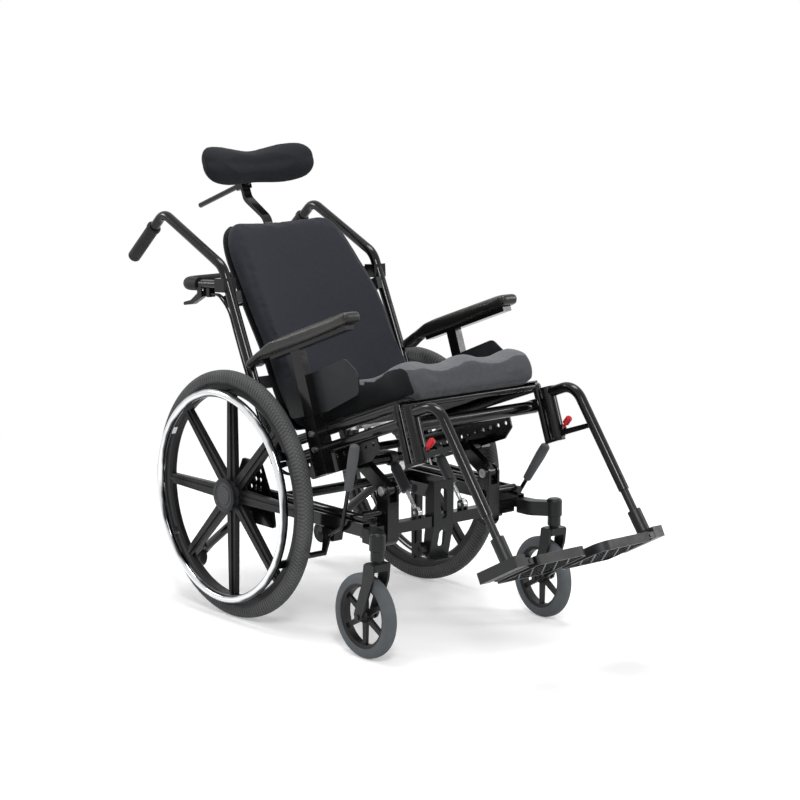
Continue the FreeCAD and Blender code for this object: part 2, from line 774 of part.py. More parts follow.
def centre_channel():
    """Folded plate in front of the bar, slotted, with side flanges and a small roller."""
    face = "dims.crossbar_y - dims.crossbar_size / 2"
    wall = "dims.channel_wall"
    body = new_body("channel")
    fold = outline(new_sketch(body, "YZ_Plane"), [
        (f"{face} - {wall}", "dims.channel_top_z"), (f"{face} - {wall}", "dims.crossbar_z - 14"),
        (f"{face} - {wall} + 18", "dims.channel_low_z"), (f"{face} - {wall} - 6", "dims.channel_low_z"),
        (f"{face} - {wall} - 6", f"dims.channel_low_z - {wall}"), (f"{face} + 20", f"dims.channel_low_z - {wall}"),
        (face, "dims.crossbar_z - 14"), (face, "dims.channel_top_z")])
    pad(body, fold, "dims.channel_wide")
    for low, high in (("dims.crossbar_z + 4", "dims.channel_top_z - 16"),
                      ("dims.channel_low_z + 26", "dims.crossbar_z - 24")):
        slot = outline(new_sketch(body, "XZ_Plane", f"-({face})"), [
            (-10, low, 9), (10, low, 9), (10, high, 9), (-10, high, 9)])
        pocket(body, slot, 60)
    flanges = []
    for number, step in enumerate((-1, 1)):
        flanges.append(slab(f"flange_{number}", "YZ_Plane", [
            (face, "dims.channel_top_z"), (face, "dims.crossbar_z - 14"), (f"{face} + 18", "dims.channel_low_z"),
            (f"{face} + dims.channel_flange + 8", "dims.channel_low_z + 4", 8),
            (f"{face} + dims.channel_flange", "dims.crossbar_z - 14"),
            (f"{face} + dims.channel_flange", "dims.channel_top_z - 30", 10),
            (f"{face} + 12", "dims.channel_top_z", 6)], wall, f"{step} * (dims.channel_wide - {wall}) / 2"))
    folded = cut("channel_on_bar", fuse("channel_folded", [body, *flanges]), [crossbar_solid("channel_bar_gap")])
    side = "-(dims.channel_wide / 2)"
    roller = rod("roller", "dims.roller_d", 16, f"{side} - 18", f"{face} + 34", "dims.channel_low_z + 20", (0, 1, 0), 90)
    pin = rod("roller_pin", 10, 20, f"{side} - 20", f"{face} + 34", "dims.channel_low_z + 20", (0, 1, 0), 90)
    node("centre_channel", group("channel_set", [fuse("channel_roller", [folded, roller, pin])]), BASE_FRAME)


def caster_housings():
    """Curved arms from the rails to the swivel barrels."""
    bore = "dims.stem_d / 2 + dims.run_fit"
    barrel = turned("barrel", [
        (bore, "dims.barrel_low_z"), ("dims.barrel_neck_d / 2", "dims.barrel_low_z", 2),
        ("dims.barrel_neck_d / 2", "dims.barrel_step_z - 2"), ("dims.barrel_d / 2", "dims.barrel_step_z"),
        ("dims.barrel_d / 2", "dims.barrel_top_z", 8), (0, "dims.barrel_top_z"),
        (0, "dims.barrel_top_z - 12"), (bore, "dims.barrel_top_z - 12")], "XZ_Plane", "V_Axis")
    put(barrel, "dims.caster_x", "dims.swivel_y", 0)
    arm = slab("caster_arm", "XY_Plane", [
        ("dims.rail_x - dims.rail_wide / 2 - 3", "dims.rail_front_y"),
        ("dims.rail_x + dims.rail_wide / 2 + 2", "dims.rail_front_y"),
        ("dims.rail_x + dims.rail_wide / 2 + 6", "dims.rail_front_y - 34", 40),
        ("dims.caster_x + 12", "dims.swivel_y + 6", 6), ("dims.caster_x - 12", "dims.swivel_y - 6", 6),
        ("dims.rail_x - dims.rail_wide / 2 - 3", "dims.rail_front_y - 44", 34)], "dims.arm_high", "dims.arm_z")
    core = rod("barrel_core", f"2 * ({bore})", "dims.barrel_top_z - 12", "dims.caster_x", "dims.swivel_y", 0)
    whole = fuse("caster_arm_barrel", [cut("caster_arm_bored", arm, [core]), barrel])
    node("caster_housings", pair("housings", whole), BASE_FRAME)


def caster_frame(side):
    turn = "-dims.caster_yaw" if side == "left" else 0
    return at_base(at_side(side, "dims.caster_x"), "dims.swivel_y", 0, (0, 0, 1), turn)


def caster_fork(side):
    """Forged fork: stem, crown, two curved blades and the wheel's axle bolt."""
    crown_top = "dims.fork_crown_z + dims.fork_crown_high"
    blades = []
    for number, step in enumerate((-1, 1)):
        blades.append(slab(f"blade_{side}_{number}", "YZ_Plane", [
            (-17, crown_top, 6), (18, crown_top, 6), (24, "dims.fork_crown_z - 30", 40),
            ("dims.caster_trail + 13", "dims.caster_radius + 4", 10),
            ("dims.caster_trail + 2", "dims.caster_radius - 14", 10),
            ("dims.caster_trail - 13", "dims.caster_radius - 4", 10), (-12, "dims.fork_crown_z - 22", 40)],
            "dims.fork_blade", f"{step} * (dims.fork_gap + dims.fork_blade / 2)"))
    crown = slab(f"crown_{side}", "XY_Plane", [
        ("-dims.fork_gap - 1", -17), ("dims.fork_gap + 1", -17), ("dims.fork_gap + 1", 18), ("-dims.fork_gap - 1", 18)],
        "dims.fork_crown_high", "dims.fork_crown_z + dims.fork_crown_high / 2")
    stem = rod(f"stem_{side}", "dims.stem_d", f"dims.barrel_top_z - 16 - ({crown_top}) + 4", 0, 0, f"{crown_top} - 4")
    collar = rod(f"collar_{side}", "dims.stem_d + 10", f"dims.barrel_low_z - ({crown_top}) - dims.soft_gap + 2",
                 0, 0, f"{crown_top} - 2")
    bolt = rod_x(f"caster_bolt_{side}", "dims.caster_axle_d", "2 * (dims.fork_gap + dims.fork_blade) + 6",
                 0, "dims.caster_trail", "dims.caster_radius")
    heads = rod_x(f"caster_nuts_{side}", "dims.caster_axle_d + 6", "2 * (dims.fork_gap + dims.fork_blade) + 6",
                  0, "dims.caster_trail", "dims.caster_radius")
    nuts = cut(f"caster_nut_pair_{side}", heads, [
        rod_x(f"caster_nut_gap_{side}", 40, "2 * (dims.fork_gap + dims.fork_blade)", 0, "dims.caster_trail",
              "dims.caster_radius")])
    node(f"caster_fork_{side}", fuse(f"fork_{side}", [crown, *blades, stem, collar, bolt, nuts]), caster_frame(side))


def caster_wheel(side):
    """Small wheel with a hub, six spokes and a rim, under its own tyre."""
    frame = f"{caster_frame(side)} * placement(vector(0; dims.caster_trail; dims.caster_radius); rotation(vector(0; 0; 1); 0))"
    inner = "dims.caster_radius - dims.caster_tyre_depth"
    half = "dims.caster_width / 2"
    tyre = turned(f"small_tyre_{side}", [
        (f"-{half}", inner, 3), (f"-{half}", "dims.caster_radius", 13), (half, "dims.caster_radius", 13),
        (half, inner, 3)])
    node(f"caster_tyre_{side}", tyre, frame)
    body = new_body(f"small_wheel_{side}")
    bore = "dims.caster_axle_d / 2 + dims.run_fit"
    end = "dims.fork_gap - dims.soft_gap"
    revolve(body, outline(new_sketch(body, "XY_Plane"), [
        (f"-({end})", bore), (end, bore), (end, 10), (8, 16), (-8, 16), (f"-({end})", 10)]))
    revolve(body, outline(new_sketch(body, "XY_Plane"), [
        (-12, inner), (12, inner), (10, f"{inner} - 8"), (-10, f"{inner} - 8")]))
    sketch = outline(new_sketch(body, "YZ_Plane"), [
        (-7, 12), (7, 12), (5, f"{inner} - 6"), (-5, f"{inner} - 6")])
    spoke = pad(body, sketch, 9)
    around(body, [spoke], "dims.caster_spokes", sketch)
    node(f"caster_wheel_{side}", body, frame)


def lock_frame(side):
    lean = "dims.lock_lean" if side == "left" else 0
    return at_base(at_side(side, "dims.lock_x"), "dims.lock_y", "dims.lock_z", (1, 0, 0), lean)


LOCK_BEND = ("-56", "30")
LOCK_SLOPE = 13.0


def wheel_lock_clamps():
    """Blocks bolted under the rails that carry the brake lever pins."""
    inner = "dims.rail_x - dims.rail_wide / 2"
    outer = "(dims.lock_x - dims.lock_rod_d / 2 - dims.soft_gap)"
    end = "(dims.lock_x + dims.lock_plate / 2 + dims.soft_gap)"
    low = "dims.lock_z - 14"
    top = "dims.rail_z - dims.rail_high / 2"
    block = slab("lock_block", "YZ_Plane", [
        ("dims.lock_y - 16", low, 5), ("dims.lock_y + 22", low, 5), ("dims.lock_y + 28", top), ("dims.lock_y - 22", top)],
        f"{outer} - ({inner})", f"({outer} + {inner}) / 2")
    pin = rod("lock_pin", "dims.lock_pin_d", f"{end} - {outer} + 8", f"{outer} - 8", "dims.lock_y", "dims.lock_z",
              (0, 1, 0), 90)
    head = rod("lock_pin_head", "dims.lock_pin_d + 5", "dims.pin_head_high", end, "dims.lock_y", "dims.lock_z", (0, 1, 0), 90)
    trimmed = fuse("lock_clamp", [block, pin, head])
    node("wheel_lock_clamps", pair("lock_clamps", trimmed), BASE_FRAME)


def wheel_lock(side):
    """Push-to-lock brake: bent lever with a shoe bar across the tyre, and its grip."""
    out = SIDES[side]
    body = new_body(f"lever_{side}")
    path = outline(new_sketch(body, "YZ_Plane"), [
        (-8, 3), (LOCK_BEND[0], LOCK_BEND[1], 26),
        (f"{LOCK_BEND[0]} - 190 * sin({LOCK_SLOPE})", f"{LOCK_BEND[1]} + 190 * cos({LOCK_SLOPE})")], closed=False)
    pipe(body, path, "dims.lock_rod_d")
    plate = new_body(f"lever_plate_{side}")
    sketch = outline(new_sketch(plate, "YZ_Plane"), [
        (-20, 4, 5), (-16, 18, 5), (10, 10, 8), ("dims.shoe_y + 9", "dims.shoe_z - 4", 7),
        ("dims.shoe_y - 3", "dims.shoe_z - 9", 6), (-9, -10, 10)])
    circle(sketch, 0, 0, "dims.lock_pin_d + 2 * dims.run_fit")
    pad(plate, sketch, "dims.lock_plate")
    hole = rod_x(f"lever_hole_{side}", "dims.lock_pin_d + 2 * dims.run_fit", 60)
    long = "dims.wheel_x + dims.tyre_width / 2 - dims.lock_x"
    shoe = rod(f"shoe_{side}", "dims.shoe_d", long, 0 if out > 0 else f"-({long})", "dims.shoe_y", "dims.shoe_z",
               (0, 1, 0), 90)
    lever = cut(f"lever_bored_{side}", fuse(f"lever_whole_{side}", [body, plate, shoe]), [hole])
    node(f"wheel_lock_lever_{side}", lever, lock_frame(side))
    grip = turned(f"grip_{side}", [
        ("dims.lock_rod_d / 2", 0), ("dims.lock_grip_tip_d / 2", 0, 2), ("dims.lock_grip_d / 2", "dims.lock_grip_long * 0.7", 60),
        ("dims.lock_grip_d / 2 - 1", "dims.lock_grip_long", 9), (0, "dims.lock_grip_long"),
        (0, "dims.lock_grip_long - 18"), ("dims.lock_rod_d / 2", "dims.lock_grip_long - 18")], "XZ_Plane", "V_Axis")
    start = "190 - dims.lock_grip_long + 18"
    grip_place = (f"{lock_frame(side)} * placement(vector(0; {LOCK_BEND[0]} - ({start}) * sin({LOCK_SLOPE});"
                  f" {LOCK_BEND[1]} + ({start}) * cos({LOCK_SLOPE})); rotation(vector(1; 0; 0); {LOCK_SLOPE}))")
    node(f"wheel_lock_grip_{side}", grip, grip_place)


def anti_tip_tubes():
    """Bent tubes clamped to the rear bar, each ending in a fork for its small wheel."""
    body = new_body("tipper")
    level = "dims.rail_z - dims.rear_bar_d / 2 - dims.tipper_d / 2"
    path = outline(new_sketch(body, "YZ_Plane", "dims.tipper_x"), [
        ("dims.rear_bar_y - 50", level), ("dims.rear_bar_y + 80", level, 60),
        ("dims.tipper_wheel_y - 36", "dims.tipper_wheel_z + 30")], closed=False)
    pipe(body, path, "dims.tipper_d")
    saddle = box("tipper_saddle", 26, 40, 22, "dims.tipper_x", "dims.rear_bar_y", f"{level} + 11")
    cheeks = []
    for number, step in enumerate((-1, 1)):
        cheeks.append(slab(f"tipper_cheek_{number}", "YZ_Plane", [
            ("dims.tipper_wheel_y - 50", "dims.tipper_wheel_z + 34", 6),
            ("dims.tipper_wheel_y - 34", "dims.tipper_wheel_z + 42", 6),
            ("dims.tipper_wheel_y + 9", "dims.tipper_wheel_z + 6", 8), ("dims.tipper_wheel_y + 3", "dims.tipper_wheel_z - 10", 8)],
            4, f"dims.tipper_x + {step} * (dims.tipper_wheel_wide / 2 + dims.soft_gap + 2)"))
    bridge = box("tipper_bridge", "dims.tipper_wheel_wide + 2 * dims.soft_gap + 6", 12, 14, "dims.tipper_x",
                 "dims.tipper_wheel_y - 42", "dims.tipper_wheel_z + 36", (1, 0, 0), -40)
    axle = rod_x("tipper_axle", "dims.caster_axle_d", "dims.tipper_wheel_wide + 12", "dims.tipper_x",
                 "dims.tipper_wheel_y", "dims.tipper_wheel_z")
    bar = rod_x("tipper_bar_gap", "dims.rear_bar_d", "2 * dims.rail_x - dims.rail_wide", 0, "dims.rear_bar_y", "dims.rail_z")
    whole = cut("tipper_whole", fuse("tipper_parts", [body, saddle, *cheeks, bridge, axle]), [bar])
    node("anti_tip_tubes", pair("tippers", whole), BASE_FRAME)


def anti_tip_wheel(side):
    half = "dims.tipper_wheel_wide / 2"
    wheel = turned(f"tip_wheel_{side}", [
        (f"-{half}", "dims.caster_axle_d / 2 + dims.run_fit"), (half, "dims.caster_axle_d / 2 + dims.run_fit"),
        (half, "dims.tipper_wheel_d / 2", 5), (f"-{half}", "dims.tipper_wheel_d / 2", 5)])
    node(f"anti_tip_wheel_{side}", wheel, at_base(at_side(side, "dims.tipper_x"), "dims.tipper_wheel_y", "dims.tipper_wheel_z"))


def base_bolts():
    """Tilt pivot pins, strut anchor pins and the bolts through the axle plates."""
    pin = rod_x("pivot_pin", "dims.pivot_d", "dims.post_wide + 2", "dims.post_x", "dims.pivot_y", "dims.pivot_z")
    heads = []
    for number, step in enumerate((-1, 1)):
        heads.append(rod_x(f"pivot_head_{number}", "dims.pivot_d + 10", 5,
                           f"dims.post_x + {step} * (dims.post_wide / 2 + 2.5)", "dims.pivot_y", "dims.pivot_z"))
    anchor = rod_x("anchor_pin", "dims.strut_pin_d", "dims.strut_eye + 2 * dims.soft_gap + 8", "dims.lock_strut_x",
                   "dims.anchor_y", "dims.anchor_z")
    face = "dims.rail_x + dims.rail_wide / 2 + dims.plate_thick"
    bolts = []
    for number, back in enumerate((20, 34)):
        bolts.append(rod(f"plate_bolt_{number}", "dims.bolt_head_d - 2", 3, face, f"dims.rail_rear_y - {back} + 6",
                         f"dims.rail_z + {number * 4 - 2}", (0, 1, 0), 90))
    node("base_bolts", pair("base_bolt_set", group("base_bolt_side", [fuse("pivot_pin_set", [pin, *heads]), anchor, *bolts])),
         BASE_FRAME)


def seat_rails():
    """Each side of the seat: two rails, three uprights, and the receiver with its hanger pin."""
    rails = []
    long = "dims.seat_rear_y - dims.seat_front_y"
    lower = rod("lower_rail", "dims.lower_rail_d", long, "dims.seat_x", "dims.seat_front_y", "dims.lower_rail_z", (1, 0, 0), -90)
    upper = rod("upper_rail", "dims.upper_rail_d", long, "dims.seat_x", "dims.seat_front_y", "dims.upper_rail_z", (1, 0, 0), -90)
    rails += [lower, upper]
    front_low = "dims.hanger_low_z - dims.receiver_thick"
    rails.append(rod("front_upright", "dims.upright_d", f"dims.upper_rail_z + 5 - ({front_low})", "dims.seat_x",
                     "dims.seat_front_y + 4", front_low))
    for number, place in enumerate(("dims.seat_front_y * 0.55 + dims.seat_rear_y * 0.45", "dims.seat_rear_y - 11")):
        rails.append(rod(f"upright_{number}", "dims.upright_d - 4", "dims.upper_rail_z - dims.lower_rail_z", "dims.seat_x",
                         place, "dims.lower_rail_z"))
    low_plate = slab("receiver_low", "XY_Plane", [
        ("dims.hanger_x - 14", "dims.hanger_y - 14", 10), ("dims.hanger_x + 14", "dims.hanger_y - 14", 10),
        ("dims.seat_x + 11", "dims.seat_front_y + 4"), ("dims.seat_x - 13", "dims.seat_front_y + 4")],
        "dims.receiver_thick", "dims.hanger_low_z - dims.receiver_thick / 2")
    pin = rod("hanger_pin", "dims.hanger_pin_d", "dims.hanger_top_z - dims.hanger_low_z - 14 + dims.receiver_thick",
              "dims.hanger_x", "dims.hanger_y", front_low)
    coped = cut("seat_rail_coped", fuse("seat_rail_side", [*rails, low_plate, pin]), [cane_solid("rail_cane", 1)])
    node("seat_rails", pair("seat_rail_pair", coped), SEAT_FRAME)


def rail_solids(name):
    """Solid stand-ins of both sides' rails, for coping what butts against them."""
    solids = []
    long = "dims.seat_rear_y - dims.seat_front_y + 40"
    for number, sign in enumerate((-1, 1)):
        for level in ("lower", "upper"):
            solids.append(rod(f"{name}_{level}_{number}", f"dims.{level}_rail_d", long, f"{sign} * dims.seat_x",
                              "dims.seat_front_y - 20", f"dims.{level}_rail_z", (1, 0, 0), -90))
        solids.append(rod(f"{name}_upright_{number}", "dims.upright_d", "dims.upper_rail_z + 5 - dims.hanger_low_z",
                          f"{sign} * dims.seat_x", "dims.seat_front_y + 4", "dims.hanger_low_z"))
    return solids


HEAD_STOPS = ("-dims.lock_strut_x - 15", "dims.lock_strut_x - 15")


def seat_cross_tubes():
    """Coped tubes between the seat's sides, and the low tube that carries the struts."""
    wide = "2 * dims.seat_x"
    front = rod_x("front_tube", "dims.front_tube_d", wide, 0, "dims.seat_front_y + 26", "dims.lower_rail_z - 6")
    edge = rod_x("front_edge", "dims.front_bar_d", wide, 0, "dims.seat_front_y + 4", "dims.upper_rail_z + 2")
    rear = rod_x("rear_tube", "dims.lower_rail_d - 3", wide, 0, "dims.seat_rear_y - 26", "dims.lower_rail_z")
    upper = cut("cross_coped", group("cross_raw", [front, edge, rear]), rail_solids("coping"))
    tube = rod_x("mid_tube", "dims.mid_tube_d", "2 * dims.side_plate_x - dims.side_plate_thick", 0, "dims.mid_tube_y",
                 "dims.mid_tube_z")
    stops = [box(f"head_stop_{number}", 10, "dims.head_stop_deep", 14, place,
                 "dims.mid_tube_y + dims.mid_tube_d / 2 - 2 + dims.head_stop_deep / 2", "dims.mid_tube_z")
             for number, place in enumerate(HEAD_STOPS)]
    low = fuse("mid_tube_set", [tube, *stops])
    node("seat_cross_tubes", group("cross_set", [upper, low]), SEAT_FRAME)


def seat_pan():
    """Flat pan under the cushion, with lightening slots and a turned-down front lip."""
    half = "dims.pan_wide / 2"
    top = "dims.upper_rail_z + dims.upper_rail_d / 2"
    body = slab("pan", "XY_Plane", [
        (f"-{half}", "dims.pan_front_y", 14), (half, "dims.pan_front_y", 14), (half, "dims.pan_rear_y", 10),
        (f"-{half}", "dims.pan_rear_y", 10)], "dims.pan_thick", f"{top} + dims.pan_thick / 2")
    for side in (-1, 1):
        for start in (0.25, 0.55):
            back = f"(dims.pan_front_y + (dims.pan_rear_y - dims.pan_front_y) * {start})"
            slot = outline(new_sketch(body, "XY_Plane", f"{top} + dims.pan_thick / 2"), [
                (f"{side} * 110 - 45", back, 12), (f"{side} * 110 + 45", back, 12),
                (f"{side} * 110 + 45", f"{back} + 26", 12), (f"{side} * 110 - 45", f"{back} + 26", 12)])
            pocket(body, slot, 20)
    node("seat_pan", body, SEAT_FRAME)


def pivot_brackets():
    """Perforated side plates under the rails and the struts down to the tilt pivot."""
    plate = new_body("side_plate")
    sketch = outline(new_sketch(plate, "YZ_Plane", "dims.side_plate_x"), [
        ("dims.side_plate_front_y", "dims.lower_rail_z - 4"), ("dims.side_plate_front_y", "dims.side_plate_low_z + 22", 8),
        ("dims.side_plate_front_y + 34", "dims.side_plate_low_z", 8), ("dims.side_plate_rear_y - 20", "dims.side_plate_low_z", 8),
        ("dims.side_plate_rear_y", "dims.side_plate_low_z + 18", 8), ("dims.side_plate_rear_y", "dims.lower_rail_z - 4")])
    pad(plate, sketch, "dims.side_plate_thick")
    holes = new_sketch(plate, "YZ_Plane", "dims.side_plate_x")
    circle(holes, "dims.side_plate_front_y + 18", "dims.lower_rail_z - 24", 10)
    hole = pocket(plate, holes, "dims.side_plate_thick + 2")
    row = plate.newObject("PartDesign::LinearPattern", "side_plate_row")
    row.Originals = [hole]
    row.Direction = (holes, ["H_Axis"])
    row.Mode = "Spacing"
    row.setExpression("Offset", "(dims.side_plate_rear_y - dims.side_plate_front_y - 36) / 9")
    row.Occurrences = 10
    plate.Tip = row
    pressed = cut("side_plate_on_rail", plate, [
        rod("plate_rail_gap", "dims.lower_rail_d", "dims.seat_rear_y - dims.seat_front_y", "dims.seat_x",
            "dims.seat_front_y", "dims.lower_rail_z", (1, 0, 0), -90)])
    half = "dims.strut_deep / 2"
    strut = new_body("strut")
    run_y = "(dims.mid_tube_y - dims.pivot_y)"
    run_z = "(dims.mid_tube_z - dims.pivot_z)"
    along = f"sqrt({run_y} ^ 2 + {run_z} ^ 2)"
    bar = outline(new_sketch(strut, "YZ_Plane"), [
        (f"-{half} + 1", f"-{half} + 1", f"{half} - 2"), (f"{half} - 1", f"-{half} + 1", f"{half} - 2"),
        (half, f"{along} + {half}", f"{half} - 1"), (f"-{half}", f"{along} + {half}", f"{half} - 1")])
    circle(bar, 0, 0, "dims.pivot_d + 2 * dims.run_fit")
    circle(bar, 0, along, "dims.mid_tube_d")
    pad(strut, bar, "dims.strut_wide")
    put(strut, "dims.post_x", "dims.pivot_y", "dims.pivot_z", (-1, 0, 0), f"atan({run_y} / {run_z})")
    node("pivot_brackets", pair("bracket_pair", group("bracket_side", [pressed, strut])), SEAT_FRAME)


def cane_path(body, offset):
    return outline(new_sketch(body, "YZ_Plane", offset), [
        ("dims.cane_low_y", "dims.cane_low_z"), ("dims.cane_kink_y", "dims.cane_kink_z", "dims.cane_kink_round"),
        ("dims.cane_bend_y", "dims.cane_bend_z", "dims.cane_bend_round"),
        ("dims.handle_end_y", "dims.handle_end_z")], closed=False)


def back_canes():
    """Bent back posts, clamped outside the seat rails, that end in the push handles."""
    body = new_body("cane")
    pipe(body, cane_path(body, "dims.cane_x"), "dims.cane_d", "dims.cane_d - 2 * dims.cane_wall")
    clamp = slab("cane_clamp", "XY_Plane", [
        ("dims.seat_x + dims.lower_rail_d / 2 - 3", "dims.cane_low_y - 20", 4),
        ("dims.cane_x + dims.cane_d / 2 - 4", "dims.cane_low_y - 20", 4),
        ("dims.cane_x + dims.cane_d / 2 - 4", "dims.cane_low_y + 16", 4),
        ("dims.seat_x + dims.lower_rail_d / 2 - 3", "dims.cane_low_y + 16", 4)],
        50, "dims.cane_low_z + 13")
    fitted = cut("clamp_fitted", clamp, [
        rod("clamp_lower", "dims.lower_rail_d", 200, "dims.seat_x", "dims.seat_rear_y - 150", "dims.lower_rail_z", (1, 0, 0), -90),
        rod("clamp_upper", "dims.upper_rail_d", 200, "dims.seat_x", "dims.seat_rear_y - 150", "dims.upper_rail_z", (1, 0, 0), -90),
        rod("clamp_bore", "dims.cane_d - 2", 120, "dims.cane_x", "dims.cane_low_y", "dims.cane_low_z - 20",
            (-1, 0, 0), "atan((dims.cane_kink_y - dims.cane_low_y) / (dims.cane_kink_z - dims.cane_low_z))")])
    node("back_canes", pair("cane_frame", fuse("cane_half", [body, fitted])), SEAT_FRAME)


def grips():
    """Dimpled grips on the push handles and the foam sleeve of the push bar."""
    lean = "atan((dims.cane_bend_z - dims.handle_end_z) / (dims.handle_end_y - dims.cane_bend_y))"
    body = new_body("handle_grip")
    sleeve = outline(new_sketch(body, "XZ_Plane"), [
        ("dims.cane_d / 2", 0), ("dims.grip_d / 2 + 2", 0, 2), ("dims.grip_d / 2 + 2", 8, 2), ("dims.grip_d / 2", 10),
        ("dims.grip_d / 2", "dims.grip_long", 8), (0, "dims.grip_long"), (0, "dims.grip_long - 5"),
        ("dims.cane_d / 2", "dims.grip_long - 5")])
    revolve(body, sleeve, "V_Axis")
    dimple = new_sketch(body, "YZ_Plane", "dims.grip_d / 2")
    circle(dimple, 0, 22, 8)
    well = pocket(body, dimple, 3)
    row = body.newObject("PartDesign::LinearPattern", "grip_row")
    row.Originals = [well]
    row.Direction = (dimple, ["V_Axis"])
    row.Mode = "Spacing"
    row.setExpression("Offset", "(dims.grip_long - 42) / (dims.grip_dimples - 1)")
    row.setExpression("Occurrences", "dims.grip_dimples")
    body.Tip = row
    back = "(dims.grip_long - 5)"
    put(body, "-dims.cane_x", f"dims.handle_end_y - {back} * cos({lean})", f"dims.handle_end_z + {back} * sin({lean})",
        (-1, 0, 0), f"90 deg + {lean}")
    foam = new_body("foam")
    path = bar_path(foam, "dims.foam_start")
    pipe(foam, path, "dims.foam_d", "dims.bar_d + 2 * dims.run_fit")
    put(foam, 0, "dims.bar_root_y", "dims.bar_root_z", (1, 0, 0), "dims.bar_slope")
    node("grips", group("grip_set", [body, mirror("handle_grip_twin", body), foam]), SEAT_FRAME)


def bar_path(body, start):
    """The push bar's U in its own plane, from a distance behind the canes."""
    reach = "dims.bar_reach - dims.foam_d / 2"
    return outline(new_sketch(body, "XY_Plane"), [
        ("-dims.cane_x", start), ("-dims.cane_x", reach, "dims.bar_round"), ("dims.cane_x", reach, "dims.bar_round"),
        ("dims.cane_x", start)], closed=False)


def push_bar():
    """U-shaped push bar clamped round the canes, with the trigger's bracket."""
    body = new_body("bar")
    pipe(body, bar_path(body, "dims.cane_d / 2 - 2"), "dims.bar_d")
    parts = [body]
    for number, sign in enumerate((-1, 1)):
        parts.append(box(f"bar_clamp_{number}", "dims.cane_d + 12", "dims.cane_d + 14", 34, f"{sign} * dims.cane_x", 0, 0))
    parts.append(box("trigger_ear_out", 3, 18, 26, "-dims.cane_x - 9.5", "dims.trigger_reach", "-dims.bar_d / 2 - 7"))
    parts.append(box("trigger_ear_in", 3, 18, 26, "-dims.cane_x + 9.5", "dims.trigger_reach", "-dims.bar_d / 2 - 7"))
    parts.append(rod_x("trigger_pin", "dims.trigger_pin_d", 22, "-dims.cane_x", "dims.trigger_reach", "-dims.trigger_drop"))
    parts.append(box("cable_stop", 18, 12, "dims.trigger_drop - 2", "-dims.cane_x", "dims.cable_stop_reach",
                     "-dims.trigger_drop / 2 - 8"))
    whole = fuse("bar_whole", parts)
    put(whole, 0, "dims.bar_root_y", "dims.bar_root_z", (1, 0, 0), "dims.bar_slope")
    canes = [cane_solid(f"bar_cane_{number}", sign) for number, sign in enumerate((-1, 1))]
    node("push_bar", cut("bar_clamped", whole, canes), SEAT_FRAME)


def tilt_trigger():
    """Squeeze lever under the push bar's arm that works the tilt cables."""
    body = new_body("trigger")
    sketch = outline(new_sketch(body, "YZ_Plane"), [
        (-10, 5, 4), (4, 8, 4), (44, -16, 5), (76, -22, 3.5), (76, -30, 3.5), (40, -27, 8), (-4, -8, 5), (-14, -6, 4)])
    circle(sketch, 0, 0, "dims.trigger_pin_d + 2 * dims.run_fit")
    pad(body, sketch, 14)
    node("tilt_trigger", body, at_seat(
        "-dims.cane_x",
        "dims.bar_root_y + dims.trigger_reach * cos(dims.bar_slope) + dims.trigger_drop * sin(dims.bar_slope)",
        "dims.bar_root_z + dims.trigger_reach * sin(dims.bar_slope) - dims.trigger_drop * cos(dims.bar_slope)",
        (1, 0, 0), "dims.bar_slope"))


def wire_face(points):
    """A closed wire of straight runs and three-point arcs: each entry is a point, or an arc's middle and end."""
    edges = []
    here = points[0]
    for step in points[1:]:
        if isinstance(step, tuple):
            edges.append(Part.Arc(here, step[0], step[1]).toShape())
            here = step[1]
        else:
            edges.append(Part.LineSegment(here, step).toShape())
            here = step
    return Part.Wire(edges)


def soft(name, wires):
    """A padded piece: a loft through closed sections."""
    shape = Part.makeLoft(wires, True, False)
    item = doc.addObject("Part::Feature", name)
    item.Shape = shape
    return item


# The back's sections, from its low end up: share of the height, of the half width, of the thickness, and wing depth
BACK_FORM = ((0.0, 0.84, 0.6, 10), (0.05, 0.94, 0.95, 14), (0.3, 0.99, 1.0, 24), (0.55, 1.0, 1.0, 26),
             (0.75, 0.95, 1.0, 16), (0.9, 0.88, 0.95, 8), (0.97, 0.78, 0.8, 5), (1.0, 0.66, 0.5, 3))


def back_sections():
    """Sections across the back: full width at the middle, drawn in at both ends, with forward wings."""
    half = num("dims.back_half")
    high = num("dims.back_high")
    thick = num("dims.back_thick")
    wires = []
    for part, width, depth, wing in BACK_FORM:
        z = high * part
        w = half * width
        front = thick - thick * depth
        edge = min(12.0, thick * depth / 3)
        wires.append(wire_face([
            V(-w + edge, thick - wing, z), (V(0, thick, z), V(w - edge, thick - wing, z)),
            (V(w, (thick + front) / 2 - wing, z), V(w - edge, front - wing, z)),
            (V(0, front + 4, z), V(-w + edge, front - wing, z)),
            (V(-w, (thick + front) / 2 - wing, z), V(-w + edge, thick - wing, z))]))
    return wires


def back_frame():
    return at_seat(0, "dims.back_low_y", "dims.back_low_z", (-1, 0, 0), "dims.back_lean")


def back_cushion():
    """Padded back with forward wings and a drawn-in top."""
    node("back_cushion", soft("back_soft", back_sections()), back_frame())


